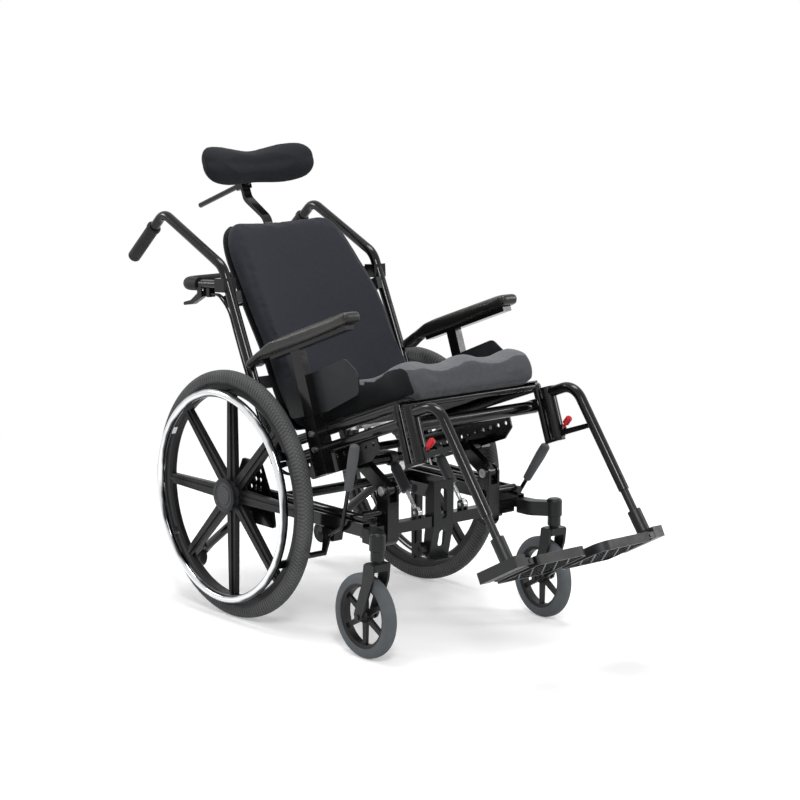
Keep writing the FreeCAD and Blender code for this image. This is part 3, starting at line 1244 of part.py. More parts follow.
def back_shell():
    """Thin hard shell behind the back cushion, with brackets to the canes and the headrest socket."""
    wall = num("dims.shell_thick")
    front = num("dims.back_thick") + num("dims.soft_gap")
    half = num("dims.back_half") - 4
    high = num("dims.back_high")
    wires = []
    for part, width, depth, wing in BACK_FORM:
        w = half * width
        z = high * part
        wires.append(wire_face([
            V(-w, front - wing, z), (V(0, front, z), V(w, front - wing, z)), V(w, front + wall - wing, z),
            (V(0, front + wall, z), V(-w, front + wall - wing, z)), V(-w, front - wing, z)]))
    shell = soft("shell_skin", wires)
    put(shell, 0, "dims.back_low_y", "dims.back_low_z", (-1, 0, 0), "dims.back_lean")
    reach = "dims.cane_x - dims.cane_d / 2 + 5"
    brackets = []
    canes = []
    for number, sign in enumerate((-1, 1)):
        side_x = f"{sign} * (190 + {reach}) / 2"
        brackets.append(box(f"low_bracket_{number}", f"{reach} - 190", 14, 30, side_x, -116, 700))
        brackets.append(box(f"high_bracket_{number}", f"{reach} - 180", 10, 30, f"{sign} * (180 + {reach}) / 2", -59, 920))
        brackets.append(box(f"high_arm_{number}", 16, 54, 30, f"{sign} * ({reach} - 8)", -76, 920))
        canes.append(cane_solid(f"bracket_cane_{number}", sign))
    slot = box("mast_slot", 24.4, 8.4, 80, 0, "dims.mast_y", 1025)
    socket = box("mast_socket", 40, 36, 50, 0, "dims.mast_y - 9", 1025)
    whole = cut("shell_set", fuse("shell_bracketed", [shell, *brackets, socket]), [*canes, slot])
    node("back_shell", whole, SEAT_FRAME)


def cane_solid(name, sign):
    """A solid stand-in of a cane's straight lower run, for what clamps round it."""
    lean = "atan((dims.cane_kink_y - dims.cane_low_y) / (dims.cane_kink_z - dims.cane_low_z))"
    return rod(name, "dims.cane_d", 480, f"{sign} * dims.cane_x", "dims.cane_low_y", "dims.cane_low_z", (-1, 0, 0), lean)


def arm_sockets():
    """Box sockets bolted outside the seat rails, open at the top for the arm posts."""
    inner_wide = "dims.arm_post_wide + 2 * dims.slide_gap"
    inner_deep = "dims.arm_post_deep + 2 * dims.slide_gap"
    high = "dims.socket_top_z - dims.socket_low_z"
    shell = box("socket_shell", f"{inner_wide} + 2 * dims.socket_wall", f"{inner_deep} + 2 * dims.socket_wall", high,
                "dims.arm_x", "dims.arm_y", f"dims.socket_low_z + ({high}) / 2")
    bore = box("socket_bore", inner_wide, inner_deep, high, "dims.arm_x", "dims.arm_y",
               f"dims.socket_low_z + ({high}) / 2 + dims.socket_wall")
    saddle = box("socket_saddle", 14, 40, 62, "dims.arm_x - 18", "dims.arm_y", "(dims.lower_rail_z + dims.upper_rail_z) / 2")
    rails = [rod(f"socket_{level}", f"dims.{level}_rail_d", 500, "dims.seat_x", "dims.seat_front_y",
                 f"dims.{level}_rail_z", (1, 0, 0), -90) for level in ("lower", "upper")]
    socket = cut("socket_open", fuse("socket_body", [shell, saddle]), [bore, *rails])
    node("arm_sockets", pair("sockets", socket), SEAT_FRAME)


def armrest(side):
    """Height-adjustable arm: flat post with a channel on top, its pad, and the side guard."""
    x = at_side(side, "dims.arm_x")
    high = "dims.arm_post_top_z - dims.arm_post_low_z"
    post = box(f"arm_bar_{side}", "dims.arm_post_wide", "dims.arm_post_deep", high, x, "dims.arm_y",
               f"dims.arm_post_low_z + ({high}) / 2")
    rest = slab(f"rest_channel_{side}", "YZ_Plane", [
        ("dims.pad_front_y + dims.rest_inset", "dims.pad_low_z"),
        ("dims.pad_front_y + dims.rest_inset", "dims.arm_post_top_z"),
        ("dims.pad_rear_y - dims.rest_rear_inset", "dims.arm_post_top_z"),
        ("dims.pad_rear_y - dims.rest_rear_inset", "dims.pad_low_z")], "dims.rest_wide", x)
    tab = box(f"guard_tab_{side}", "dims.guard_tab_wide", 20, 60, at_side(side, "dims.arm_x - dims.arm_post_wide / 2"),
              "dims.arm_y", "dims.guard_tab_z")
    guard_gap = box(f"guard_tab_trim_{side}", "dims.guard_tab_wide", 40, 80,
                    at_side(side, "dims.guard_x + (dims.guard_thick - dims.guard_tab_wide) / 2"), "dims.arm_y",
                    "dims.guard_tab_z")
    node(f"armrest_post_{side}", cut(f"arm_tee_{side}", fuse(f"arm_frame_{side}", [post, rest, tab]), [guard_gap]), SEAT_FRAME)
    pad_body = new_body(f"pad_{side}")
    sketch = outline(new_sketch(pad_body, "YZ_Plane", x), [
        ("dims.pad_front_y + 10", "dims.pad_low_z", 9), ("dims.pad_front_y", "dims.pad_low_z + dims.pad_high + 2", 11),
        ("dims.pad_front_y + 60", "dims.pad_low_z + dims.pad_high + 1", 60),
        ("dims.pad_rear_y - 105", "dims.pad_low_z + dims.pad_high + 3", 100),
        ("dims.pad_rear_y", "dims.pad_low_z + dims.pad_high - dims.pad_drop", 10),
        ("dims.pad_rear_y - 4", "dims.pad_low_z - dims.pad_drop + 4", 8),
        ("dims.pad_rear_y - 56", "dims.pad_low_z", 20)])
    long_pad = pad(pad_body, sketch, "dims.pad_wide")
    doc.recompute()
    upper = [f"Edge{i}" for i, edge in enumerate(pad_body.Shape.Edges, 1)
             if abs(abs(edge.CenterOfMass.x - num(x)) - num("dims.pad_wide") / 2) < 1e-3]
    round_off = pad_body.newObject("PartDesign::Fillet", f"pad_round_{side}")
    round_off.Base = (long_pad, upper)
    round_off.setExpression("Radius", "dims.pad_high / 4")
    pad_body.Tip = round_off
    node(f"arm_pad_{side}", pad_body, SEAT_FRAME)
    guard = new_body(f"guard_{side}")
    sheet_side = outline(new_sketch(guard, "YZ_Plane", at_side(side, "dims.guard_x")), [
        (-214, 590, 14), (-204, 672, 16), (-462, 682, 22), (-498, 640, 26), (-486, 592, 14), (-360, 578, 60)])
    pad(guard, sheet_side, "dims.guard_thick")
    node(f"side_panel_{side}", guard, SEAT_FRAME)


def seat_cushion():
    """Cushion with a crown, drawn-in sides and a front edge that rises at the sides and the middle."""
    half = num("dims.cushion_half")
    front = num("dims.cushion_front_y")
    rear = num("dims.cushion_rear_y")
    low = num("dims.cushion_low_z")
    top = num("dims.cushion_top_z")
    wires = []
    for part, width, lift in ((0.0, 0.9, 0.72), (0.04, 0.97, 0.92), (0.12, 1.0, 1.0), (0.5, 1.0, 0.94), (0.88, 0.98, 0.9),
                              (1.0, 0.92, 0.72)):
        y = front + (rear - front) * part
        w = half * width
        crown = low + (top - low) * lift
        swell = 7 * lift
        wires.append(wire_face([
            V(-w + 10, y, low), V(w - 10, y, low),
            (V(w, y, (low + crown) / 2), V(w - 14, y, crown + 1)),
            (V(w * 0.78, y, crown + swell), V(w * 0.6, y, crown)),
            (V(w * 0.36, y, crown - swell * 0.8), V(w * 0.16, y, crown + 1)),
            (V(0, y, crown + swell), V(-w * 0.16, y, crown + 1)),
            (V(-w * 0.36, y, crown - swell * 0.8), V(-w * 0.6, y, crown)),
            (V(-w * 0.78, y, crown + swell), V(-w + 14, y, crown + 1)),
            (V(-w, y, (low + crown) / 2), V(-w + 10, y, low))]))
    node("seat_cushion", soft("seat_soft", wires), SEAT_FRAME)


LEG_LEAN = "atan((dims.hanger_bend_y - dims.hanger_end_y) / (dims.hanger_tube_z - dims.hanger_end_z))"


def hanger(side):
    """Swing-away footrest hanger: sleeve on the receiver pin, bent tube, and a tapered brace."""
    x = at_side(side, "dims.hanger_x")
    long = "dims.hanger_top_z - dims.hanger_low_z - dims.soft_gap"
    sleeve = rod(f"sleeve_{side}", "dims.hanger_post_d", long, x, "dims.hanger_y", "dims.hanger_low_z + dims.soft_gap")
    body = new_body(f"leg_{side}")
    path = outline(new_sketch(body, "YZ_Plane", x), [
        ("dims.hanger_y", "dims.hanger_tube_z"), ("dims.hanger_bend_y", "dims.hanger_tube_z", "dims.hanger_round"),
        ("dims.hanger_end_y", "dims.hanger_end_z")], closed=False)
    pipe(body, path, "dims.hanger_tube_d")
    brace = slab(f"brace_{side}", "YZ_Plane", [
        ("dims.hanger_y - 10", "dims.hanger_low_z + 2"), ("dims.hanger_y - 10", "dims.hanger_low_z + 16", 4),
        ("dims.hanger_bend_y - 36", "dims.hanger_low_z + 13"), ("dims.hanger_bend_y - 38", "dims.hanger_low_z + 2")], 12, x)
    ears = [box(f"latch_ear_{side}_{number}", 2.5, 16, 12, at_side(side, f"dims.hanger_x + {step} * 5.6"),
                "dims.latch_y + 4", "dims.latch_z") for number, step in enumerate((-1, 1))]
    latch_pin = rod_x(f"latch_pin_{side}", "dims.latch_pin_d", 14, x, "dims.latch_y", "dims.latch_z")
    inside = rod(f"leg_bore_{side}", "dims.extension_d + 2 * dims.run_fit", "dims.extension_inside + 4", x,
                 f"dims.hanger_end_y - 2 * sin({LEG_LEAN})", f"dims.hanger_end_z - 2 * cos({LEG_LEAN})",
                 (-1, 0, 0), LEG_LEAN)
    pin = rod(f"sleeve_bore_{side}", "dims.hanger_pin_d + 2 * dims.run_fit", "dims.hanger_top_z - dims.hanger_low_z - 10", x,
              "dims.hanger_y", "dims.hanger_low_z - 1")
    whole = cut(f"hanger_bored_{side}", fuse(f"hanger_whole_{side}", [sleeve, body, brace, *ears, latch_pin]), [inside, pin])
    node(f"hanger_{side}", whole, SEAT_FRAME)


def footrest_extension(side):
    """Thinner tube that telescopes in the hanger leg, with the boot and the footplate's hinge lugs."""
    x = at_side(side, "dims.hanger_x")
    top_y = f"dims.hanger_end_y + dims.extension_inside * sin({LEG_LEAN})"
    top_z = f"dims.hanger_end_z + dims.extension_inside * cos({LEG_LEAN})"
    tube = rod(f"extension_tube_{side}", "dims.extension_d", "dims.extension_long", x, top_y, top_z,
               (-1, 0, 0), f"180 deg + {LEG_LEAN}")
    boot_start = "(dims.extension_long - dims.boot_long + 6)"
    boot = rod(f"boot_{side}", "dims.boot_d", "dims.boot_long", x, f"{top_y} - {boot_start} * sin({LEG_LEAN})",
               f"{top_z} - {boot_start} * cos({LEG_LEAN})", (-1, 0, 0), f"180 deg + {LEG_LEAN}")
    out = SIDES[side]
    parts = [tube, boot]
    block_wide = "(dims.boot_d / 2 + dims.foot_hinge_in - dims.foot_barrel_d / 2 - 1)"
    parts.append(box(f"shelf_{side}", block_wide, "dims.foot_long - 16", 26,
                     f"{x} + {out} * (dims.boot_d / 2 - {block_wide} / 2)", "dims.foot_y", "dims.foot_z + 5",
                     (-1, 0, 0), "dims.foot_pitch"))
    for number, step in enumerate((-1, 1)):
        along = f"{step} * (dims.foot_long / 2 - 12)"
        parts.append(box(f"lug_{side}_{number}", "dims.foot_hinge_in + 16", 8, 14,
                         f"{x} - {out} * (dims.foot_hinge_in - 8) / 2 - {out} * 4",
                         f"dims.foot_y + {along} * cos(dims.foot_pitch)", f"dims.foot_z - {along} * sin(dims.foot_pitch)",
                         (-1, 0, 0), "dims.foot_pitch"))
    start = "(dims.foot_long / 2 - 6)"
    parts.append(rod(f"foot_pin_{side}", "dims.foot_pin_d", f"2 * {start}", f"{x} - {out} * dims.foot_hinge_in",
                     f"dims.foot_y - {start} * cos(dims.foot_pitch)", f"dims.foot_z + {start} * sin(dims.foot_pitch)",
                     (-1, 0, 0), "90 + dims.foot_pitch"))
    node(f"footrest_extension_{side}", fuse(f"extension_{side}", parts), SEAT_FRAME)


def footplate(side):
    """Flip-up composite plate: rimmed skin with a diamond lattice of ribs underneath, and its hinge barrel."""
    sign = -SIDES[side]
    top = "dims.foot_high / 2 - 3"
    low = "-dims.foot_high / 2 - 3"
    half = "dims.foot_long / 2"
    inner = f"{sign} * dims.foot_reach"
    outer = f"{sign} * (dims.foot_reach + dims.foot_wide)"
    rim = [(inner, f"-{half}", 6), (outer, f"-{half}", 30), (outer, half, 16), (inner, half, 6)]
    tray = new_body(f"tray_{side}")
    pad(tray, outline(new_sketch(tray, "XY_Plane", f"({top} + {low}) / 2"), rim), "dims.foot_high")
    wall = 5
    hollow = outline(new_sketch(tray, "XY_Plane", f"{top} - dims.foot_skin"), [
        (f"{inner} + {sign * wall}", f"-{half} + {wall}"), (f"{outer} - {sign * wall}", f"-{half} + {wall}", 26),
        (f"{outer} - {sign * wall}", f"{half} - {wall}", 12), (f"{inner} + {sign * wall}", f"{half} - {wall}")])
    pocket(tray, hollow, "dims.foot_high", both=False)
    ribs = []
    count = int(num("dims.foot_ribs"))
    for lean in (-52, 52):
        for number in range(count):
            shift = f"({inner} + {outer}) / 2 + ({number} - ({count} - 1) / 2) * (dims.foot_wide + 20) / {count}"
            ribs.append(box(f"rib_{side}_{number}_{'a' if lean < 0 else 'b'}", "dims.foot_rib", "dims.foot_long * 1.5",
                            "dims.foot_high - 4", shift, 0, f"({top} + {low}) / 2 - 1", (0, 0, 1), lean * 0.72))
    core = slab(f"rib_core_{side}", "XY_Plane", [
        (f"{inner} + {sign * 2}", f"-{half} + 2"), (f"{outer} - {sign * 2}", f"-{half} + 2", 28),
        (f"{outer} - {sign * 2}", f"{half} - 2", 14), (f"{inner} + {sign * 2}", f"{half} - 2")], 60)
    lattice = common(f"lattice_{side}", fuse(f"ribs_{side}", ribs), core)
    long = "dims.foot_long - 2 * (12 + 4 + 0.6)"
    barrel = rod(f"barrel_{side}", "dims.foot_barrel_d", long, 0, f"-({long}) / 2", 0, (1, 0, 0), -90)
    neck = box(f"neck_{side}", 22, long, 8, f"{sign} * 9", 0, -2)
    bore = rod(f"foot_bore_{side}", "dims.foot_pin_d + 2 * dims.run_fit", 300, 0, -150, 0, (1, 0, 0), -90)
    plate = cut(f"plate_bored_{side}", fuse(f"plate_{side}", [tray, lattice, barrel, neck]), [bore])
    node(f"footplate_{side}", plate, at_seat(at_side(side, "dims.hanger_x - dims.foot_hinge_in"), "dims.foot_y", "dims.foot_z",
                                             (-1, 0, 0), "dims.foot_pitch"))


def latch_lever(side):
    """Red-knobbed lever that frees the hanger."""
    body = turned(f"knob_{side}", [
        (0, -2), (2.5, -2), (2.5, 11), (8, 13, 2), (8, 34, 5), (0, 34)], "XZ_Plane", "V_Axis")
    hub = rod_x(f"latch_hub_{side}", 9, 8)
    bored = cut(f"latch_{side}", fuse(f"latch_whole_{side}", [body, hub]), [
        rod_x(f"latch_bore_{side}", "dims.latch_pin_d + 2 * dims.run_fit", 20)])
    node(f"latch_lever_{side}", bored, at_seat(at_side(side, "dims.hanger_x"), "dims.latch_y", "dims.latch_z",
                                               (1, 0, 0), "dims.latch_lean"))


def lock_cylinders():
    """Gas lock bodies with brass release heads, hung from the low cross tube."""
    body = turned("cylinder", [
        (0, 14), (9, 14), (11, 22), ("dims.cylinder_d / 2", 26, 2), ("dims.cylinder_d / 2", "dims.cylinder_long", 3),
        ("dims.strut_rod_d / 2 + dims.run_fit", "dims.cylinder_long"), ("dims.strut_rod_d / 2 + dims.run_fit", 34), (0, 34)],
        "XZ_Plane", "V_Axis")
    clasp = cut("cylinder_eye", fuse("cylinder_top", [body, rod_x("cylinder_clasp", "dims.mid_tube_d + 10", 18)]), [
        rod_x("cylinder_bore", "dims.mid_tube_d + 2 * dims.soft_gap", 40)])
    node("lock_cylinders", group("cylinder_pair", [
        placed("cylinder_right", clasp, "-dims.lock_strut_x"), placed("cylinder_left", clasp, "dims.lock_strut_x")]),
        strut_frame())


def placed(name, source, x):
    """A second placing of one piece, moved across the chair."""
    copy = doc.addObject("Part::Compound", name)
    copy.Links = [source]
    return put(copy, x)


def strut_frame():
    """The lock struts' line: from the low cross tube at the rest tilt down to the anchor on the base."""
    b_y = (f"(dims.pivot_y + (dims.mid_tube_y - dims.pivot_y) * cos(dims.tilt_rest)"
           f" + (dims.mid_tube_z - dims.pivot_z) * sin(dims.tilt_rest))")
    b_z = (f"(dims.pivot_z - (dims.mid_tube_y - dims.pivot_y) * sin(dims.tilt_rest)"
           f" + (dims.mid_tube_z - dims.pivot_z) * cos(dims.tilt_rest))")
    lean = f"atan(({b_y} - dims.anchor_y) / ({b_z} - dims.anchor_z))"
    return at_base(0, b_y, b_z, (-1, 0, 0), f"180 deg + {lean}")


def lock_rods():
    """Plunger rods with slotted eyes on the base's anchor pins."""
    span = ("sqrt((dims.pivot_y + (dims.mid_tube_y - dims.pivot_y) * cos(dims.tilt_rest)"
            " + (dims.mid_tube_z - dims.pivot_z) * sin(dims.tilt_rest) - dims.anchor_y) ^ 2"
            " + (dims.pivot_z - (dims.mid_tube_y - dims.pivot_y) * sin(dims.tilt_rest)"
            " + (dims.mid_tube_z - dims.pivot_z) * cos(dims.tilt_rest) - dims.anchor_z) ^ 2)")
    bar = rod("plunger", "dims.strut_rod_d", f"{span} - 6 - 55", 0, 0, 55)
    eye = new_body("eye")
    reach = "dims.strut_pin_d / 2 + 0.6"
    sketch = outline(new_sketch(eye, "YZ_Plane"), [
        (-10, f"{span} - 12", 4), (10, f"{span} - 12", 4), (10, f"{span} + 10.4", 8), (-10, f"{span} + 10.4", 8)])
    pad(eye, sketch, "dims.strut_eye")
    slot = outline(new_sketch(eye, "YZ_Plane"), [
        (f"-({reach})", f"{span} - ({reach}) - 1.6", "dims.strut_pin_d / 2"), (reach, f"{span} - ({reach}) - 1.6", "dims.strut_pin_d / 2"),
        (reach, f"{span} + {reach} + 1.6", "dims.strut_pin_d / 2"), (f"-({reach})", f"{span} + {reach} + 1.6", "dims.strut_pin_d / 2")])
    pocket(eye, slot, "dims.strut_eye + 4")
    whole = cut("lock_rod", fuse("plunger_eye", [bar, eye]), [box("eye_gap", 30, "dims.strut_pin_d + 1.2", "dims.strut_pin_d", 0, 0, span)])
    node("lock_rods", group("rod_pair", [
        placed("rod_right", whole, "-dims.lock_strut_x"), placed("rod_left", whole, "dims.lock_strut_x")]), strut_frame())


def headrest():
    """Curved flat mast with its cross rod and clamp, and the kidney-shaped pad."""
    mast = slab("mast", "YZ_Plane", [
        ("dims.mast_y - 4", 968), ("dims.mast_y - 4", 1140, 40), (66, 1210, 24), (70, 1262), (78, 1262), (76, 1203, 32),
        ("dims.mast_y + 4", 1136, 32), ("dims.mast_y + 4", 968)], 24)
    clamp = box("mast_clamp", 32, 26, 30, 0, 77, 1248)
    spar = rod("spar", "dims.head_bar_d", 219, 0, "dims.head_y + dims.ball_back", "dims.head_z - 36", (1, 0, 0), -90)
    ball = doc.addObject("Part::Sphere", "ball")
    bind(ball, Radius="dims.ball_d / 2")
    put(ball, 0, "dims.head_y + dims.ball_back", "dims.head_z - 36")
    node("headrest_bar", fuse("mast_set", [mast, clamp, spar, ball]), SEAT_FRAME)
    half = num("dims.head_half")
    thick = num("dims.head_thick")
    high = num("dims.head_high")
    wrap = num("dims.head_wrap")
    wires = []
    for part, tall, deep in ((-1.0, 0.42, 0.35), (-0.93, 0.72, 0.7), (-0.72, 0.96, 0.95), (-0.36, 1.0, 1.0), (0.0, 0.9, 1.0),
                             (0.36, 1.0, 1.0), (0.72, 0.96, 0.95), (0.93, 0.72, 0.7), (1.0, 0.42, 0.35)):
        x = half * part
        y = -wrap * part * part
        h = high * tall / 2
        d = thick * deep / 2
        rise = -6 * (1 - abs(part))
        wires.append(wire_face([
            V(x, y - d, rise), (V(x, y - d * 0.7, h * 0.75 + rise), V(x, y, h + rise)),
            (V(x, y + d * 0.7, h * 0.75 + rise), V(x, y + d, rise)),
            (V(x, y + d * 0.7, -h * 0.75 + rise), V(x, y, -h + rise)),
            (V(x, y - d * 0.7, -h * 0.75 + rise), V(x, y - d, rise))]))
    recess = doc.addObject("Part::Sphere", "ball_recess")
    bind(recess, Radius="dims.ball_d / 2 + dims.soft_gap")
    put(recess, 0, "dims.ball_back", -36)
    node("headrest_pad", cut("head_seated", soft("head_soft", wires), [recess]), at_seat(0, "dims.head_y", "dims.head_z"))


def tube_run(points, diameter):
    """A tube along straight runs joined by tangent arcs, each as large as its two runs allow."""
    edges = []
    here = points[0]
    radii = []
    for before, corner, after in zip(points, points[1:], points[2:]):
        back = (before - corner)
        ahead = (after - corner)
        turn = math.pi - back.getAngle(ahead)
        cut_back = 0.45 * min(back.Length, ahead.Length)
        radius = cut_back / math.tan(turn / 2)
        radii.append(radius)
        back.normalize()
        ahead.normalize()
        start = corner + back * cut_back
        end = corner + ahead * cut_back
        centre = corner + (back + ahead).normalize() * math.hypot(radius, cut_back)
        middle = centre + (corner - centre).normalize() * radius
        edges.append(Part.LineSegment(here, start).toShape())
        edges.append(Part.Arc(start, middle, end).toShape())
        here = end
    edges.append(Part.LineSegment(here, points[-1]).toShape())
    path = Part.Wire(edges)
    section = Part.Wire(Part.Circle(points[0], points[1] - points[0], diameter / 2).toShape())
    tube = path.makePipeShell([section], True, False)
    expected = math.pi * diameter * diameter / 4 * path.Length
    print(f"cable: least radius {min(radii):.1f} mm, volume {tube.Volume / expected:.4f} of section times length")
    return tube


def tilt_cables():
    """Release cables from the trigger's stop down behind the cane and forward under the seat to the lock heads."""
    tubes = []
    slope = math.radians(num("dims.bar_slope"))
    drop = num("dims.trigger_drop")
    along = num("dims.cable_stop_reach") - 6
    start_y = num("dims.bar_root_y") + along * math.cos(slope) + drop * math.sin(slope)
    start_z = num("dims.bar_root_z") + along * math.sin(slope) - drop * math.cos(slope)
    level = num("dims.mid_tube_z")
    end_y = num("dims.mid_tube_y + dims.mid_tube_d / 2 - 2 + dims.head_stop_deep")
    runs = {
        -1: [(-150, -196, 456), (-112, -250, 450)],
        1: [(-142, -186, 456), (-95, -226, 452), (-35, -246, 450), (26, -258, 448)]}
    for (step, under), stop in zip(runs.items(), HEAD_STOPS):
        x = -num("dims.cane_x") + step * num("dims.cable_pitch") / 2
        route = [V(x, start_y, start_z), V(x, start_y - 30 * math.cos(slope), start_z - 30 * math.sin(slope)),
                 V(x, -76, 896), V(x, -80, 836), V(x, -86, 768), V(x, -94, 700), V(x, -100, 634), V(x, -106, 574),
                 V(x + 4, -104, 518), V(x + 26, -108, 472), V(x + 60, -146, 458)]
        route += [V(*point) for point in under]
        route += [V(num(stop), end_y + 40, level), V(num(stop), end_y, level)]
        tubes.append(tube_run(route, num("dims.cable_d")))
    item = doc.addObject("Part::Feature", "cable_tubes")
    item.Shape = Part.makeCompound(tubes)
    node("tilt_cables", item, SEAT_FRAME)


def seat_bolts():
    """Bolts through the arm sockets and the cane clamps."""
    face = "dims.arm_x + dims.arm_post_wide / 2 + dims.slide_gap + dims.socket_wall"
    bolts = []
    for number, level in enumerate(("lower", "upper")):
        bolts.append(rod(f"socket_bolt_{number}", "dims.bolt_head_d", "dims.bolt_head_high", face, "dims.arm_y",
                         f"dims.{level}_rail_z", (0, 1, 0), 90))
    node("seat_bolts", pair("seat_bolt_set", group("seat_bolt_side", bolts)), SEAT_FRAME)


rear_axles()
base_rails()
base_crossbars()
front_posts()
axle_plates()
centre_channel()
caster_housings()
wheel_lock_clamps()
anti_tip_tubes()
base_bolts()
for side in SIDES:
    rear_tyre(side)
    mag_wheel(side)
    handrim(side)
    caster_fork(side)
    caster_wheel(side)
    wheel_lock(side)
    anti_tip_wheel(side)
seat_rails()
seat_cross_tubes()
seat_pan()
pivot_brackets()
back_canes()
grips()
push_bar()
tilt_trigger()
back_cushion()
back_shell()
arm_sockets()
seat_cushion()
for side in SIDES:
    armrest(side)
    hanger(side)
    footrest_extension(side)
    footplate(side)
    latch_lever(side)
lock_cylinders()
lock_rods()
headrest()
tilt_cables()
seat_bolts()

doc.recompute()
for item in doc.Objects:
    if "Invalid" in item.State or "Error" in item.State:
        raise RuntimeError(f"{item.Name} ({item.Label}) failed: {item.State}")
for item in NODES:
    if item.Shape.isNull() or not item.Shape.isValid():
        raise RuntimeError(f"{item.Label} has no valid shape")

os.makedirs("parts", exist_ok=True)
for item in NODES:
    item.Shape.exportStep(f"parts/{item.Label}.step")
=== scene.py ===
import bpy
import json
import math
import numpy as np
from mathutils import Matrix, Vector

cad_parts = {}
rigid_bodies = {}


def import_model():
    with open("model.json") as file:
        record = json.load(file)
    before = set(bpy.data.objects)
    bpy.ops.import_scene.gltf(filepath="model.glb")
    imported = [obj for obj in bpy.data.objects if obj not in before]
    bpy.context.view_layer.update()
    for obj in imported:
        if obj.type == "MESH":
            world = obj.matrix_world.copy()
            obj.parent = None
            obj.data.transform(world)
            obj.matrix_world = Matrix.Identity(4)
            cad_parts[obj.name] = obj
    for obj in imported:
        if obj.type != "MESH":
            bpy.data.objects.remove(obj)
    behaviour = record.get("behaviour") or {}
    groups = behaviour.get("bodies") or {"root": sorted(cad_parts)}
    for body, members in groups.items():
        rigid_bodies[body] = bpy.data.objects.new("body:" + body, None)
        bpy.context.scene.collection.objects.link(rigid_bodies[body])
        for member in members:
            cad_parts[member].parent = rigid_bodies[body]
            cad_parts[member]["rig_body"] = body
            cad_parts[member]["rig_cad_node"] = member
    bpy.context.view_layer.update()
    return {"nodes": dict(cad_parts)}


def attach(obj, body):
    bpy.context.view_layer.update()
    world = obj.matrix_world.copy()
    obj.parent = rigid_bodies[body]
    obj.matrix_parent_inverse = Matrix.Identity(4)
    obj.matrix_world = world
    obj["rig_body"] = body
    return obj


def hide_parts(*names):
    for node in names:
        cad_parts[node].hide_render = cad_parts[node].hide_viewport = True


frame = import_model()
parts = frame["nodes"]
print("frame loaded:", len(parts), "parts")

seatLean = 20.0  # degrees that the seat and all on it lean back at rest
wheelPlace = (0, 0.2023, 0.305)
casterPlace = (0, -0.2837, 0.1)
tipPlace = (0, 0.4823, 0.082)

viewpoint = {"azimuth": -39.4023, "elevation": 10.2928, "distance": 5.5768, "target": (0.0, 0.1023, 0.5),
             "lens": 101.443, "shiftX": 0.05838, "shiftY": 0.00905, "clipEnd": 80}


def addCamera():
    turn = math.radians(viewpoint["azimuth"])
    rise = math.radians(viewpoint["elevation"])
    back = Vector((math.sin(turn) * math.cos(rise), -math.cos(turn) * math.cos(rise), math.sin(rise)))
    bpy.ops.object.camera_add(location=Vector(viewpoint["target"]) + back * viewpoint["distance"])
    camera = bpy.context.object
    camera.name = "studioCamera"
    camera.rotation_euler = (-back).to_track_quat("-Z", "Y").to_euler()
    camera.data.lens = viewpoint["lens"]
    camera.data.shift_x = viewpoint["shiftX"]
    camera.data.shift_y = viewpoint["shiftY"]
    camera.data.clip_end = viewpoint["clipEnd"]
    bpy.context.scene.camera = camera


addCamera()


def setInput(tree, socket, value):  # a number is written to the socket, anything else is linked
    if isinstance(value, (int, float)):
        socket.default_value = value
    else:
        tree.links.new(value, socket)


def addMath(tree, operation, *values):
    node = tree.nodes.new("ShaderNodeMath")
    node.operation = operation
    for number, value in enumerate(values):
        setInput(tree, node.inputs[number], value)
    return node.outputs[0]


def addRange(tree, value, fromLow, fromHigh, toLow, toHigh):
    node = tree.nodes.new("ShaderNodeMapRange")
    labels = ("Value", "From Min", "From Max", "To Min", "To Max")
    for label, given in zip(labels, (value, fromLow, fromHigh, toLow, toHigh)):
        setInput(tree, node.inputs[label], given)
    return node.outputs["Result"]


studio = {"floorSize": 60.0, "floorDrop": 0.0005, "floorColour": 0.8, "floorRoughness": 0.9,
          "floorSpecular": 0.1, "floorGlow": 0.3, "litRadius": 1.3, "whiteRadius": 2.6, "worldLevel": 0.42,
          "lampAim": (0, 0, 0.55),
          "lamps": (("keyLamp", (-2.6, -3.4, 3.4), (0.9, 1.6), 130.0),
                    ("fillLamp", (3.4, -2.8, 2.2), (0.8, 1.8), 60.0),
                    ("topLamp", (0.1, 0.3, 4.4), (2.6, 1.2), 120.0),
                    ("rearLamp", (-2.4, 3.6, 2.6), (1.0, 1.4), 55.0))}


def addSeenRays(tree):  # 1 where the camera, a reflection or glass sees the surface
    path = tree.nodes.new("ShaderNodeLightPath")
    direct = addMath(tree, "MAXIMUM", path.outputs["Is Camera Ray"], path.outputs["Is Glossy Ray"])
    return addMath(tree, "MAXIMUM", direct, path.outputs["Is Transmission Ray"])


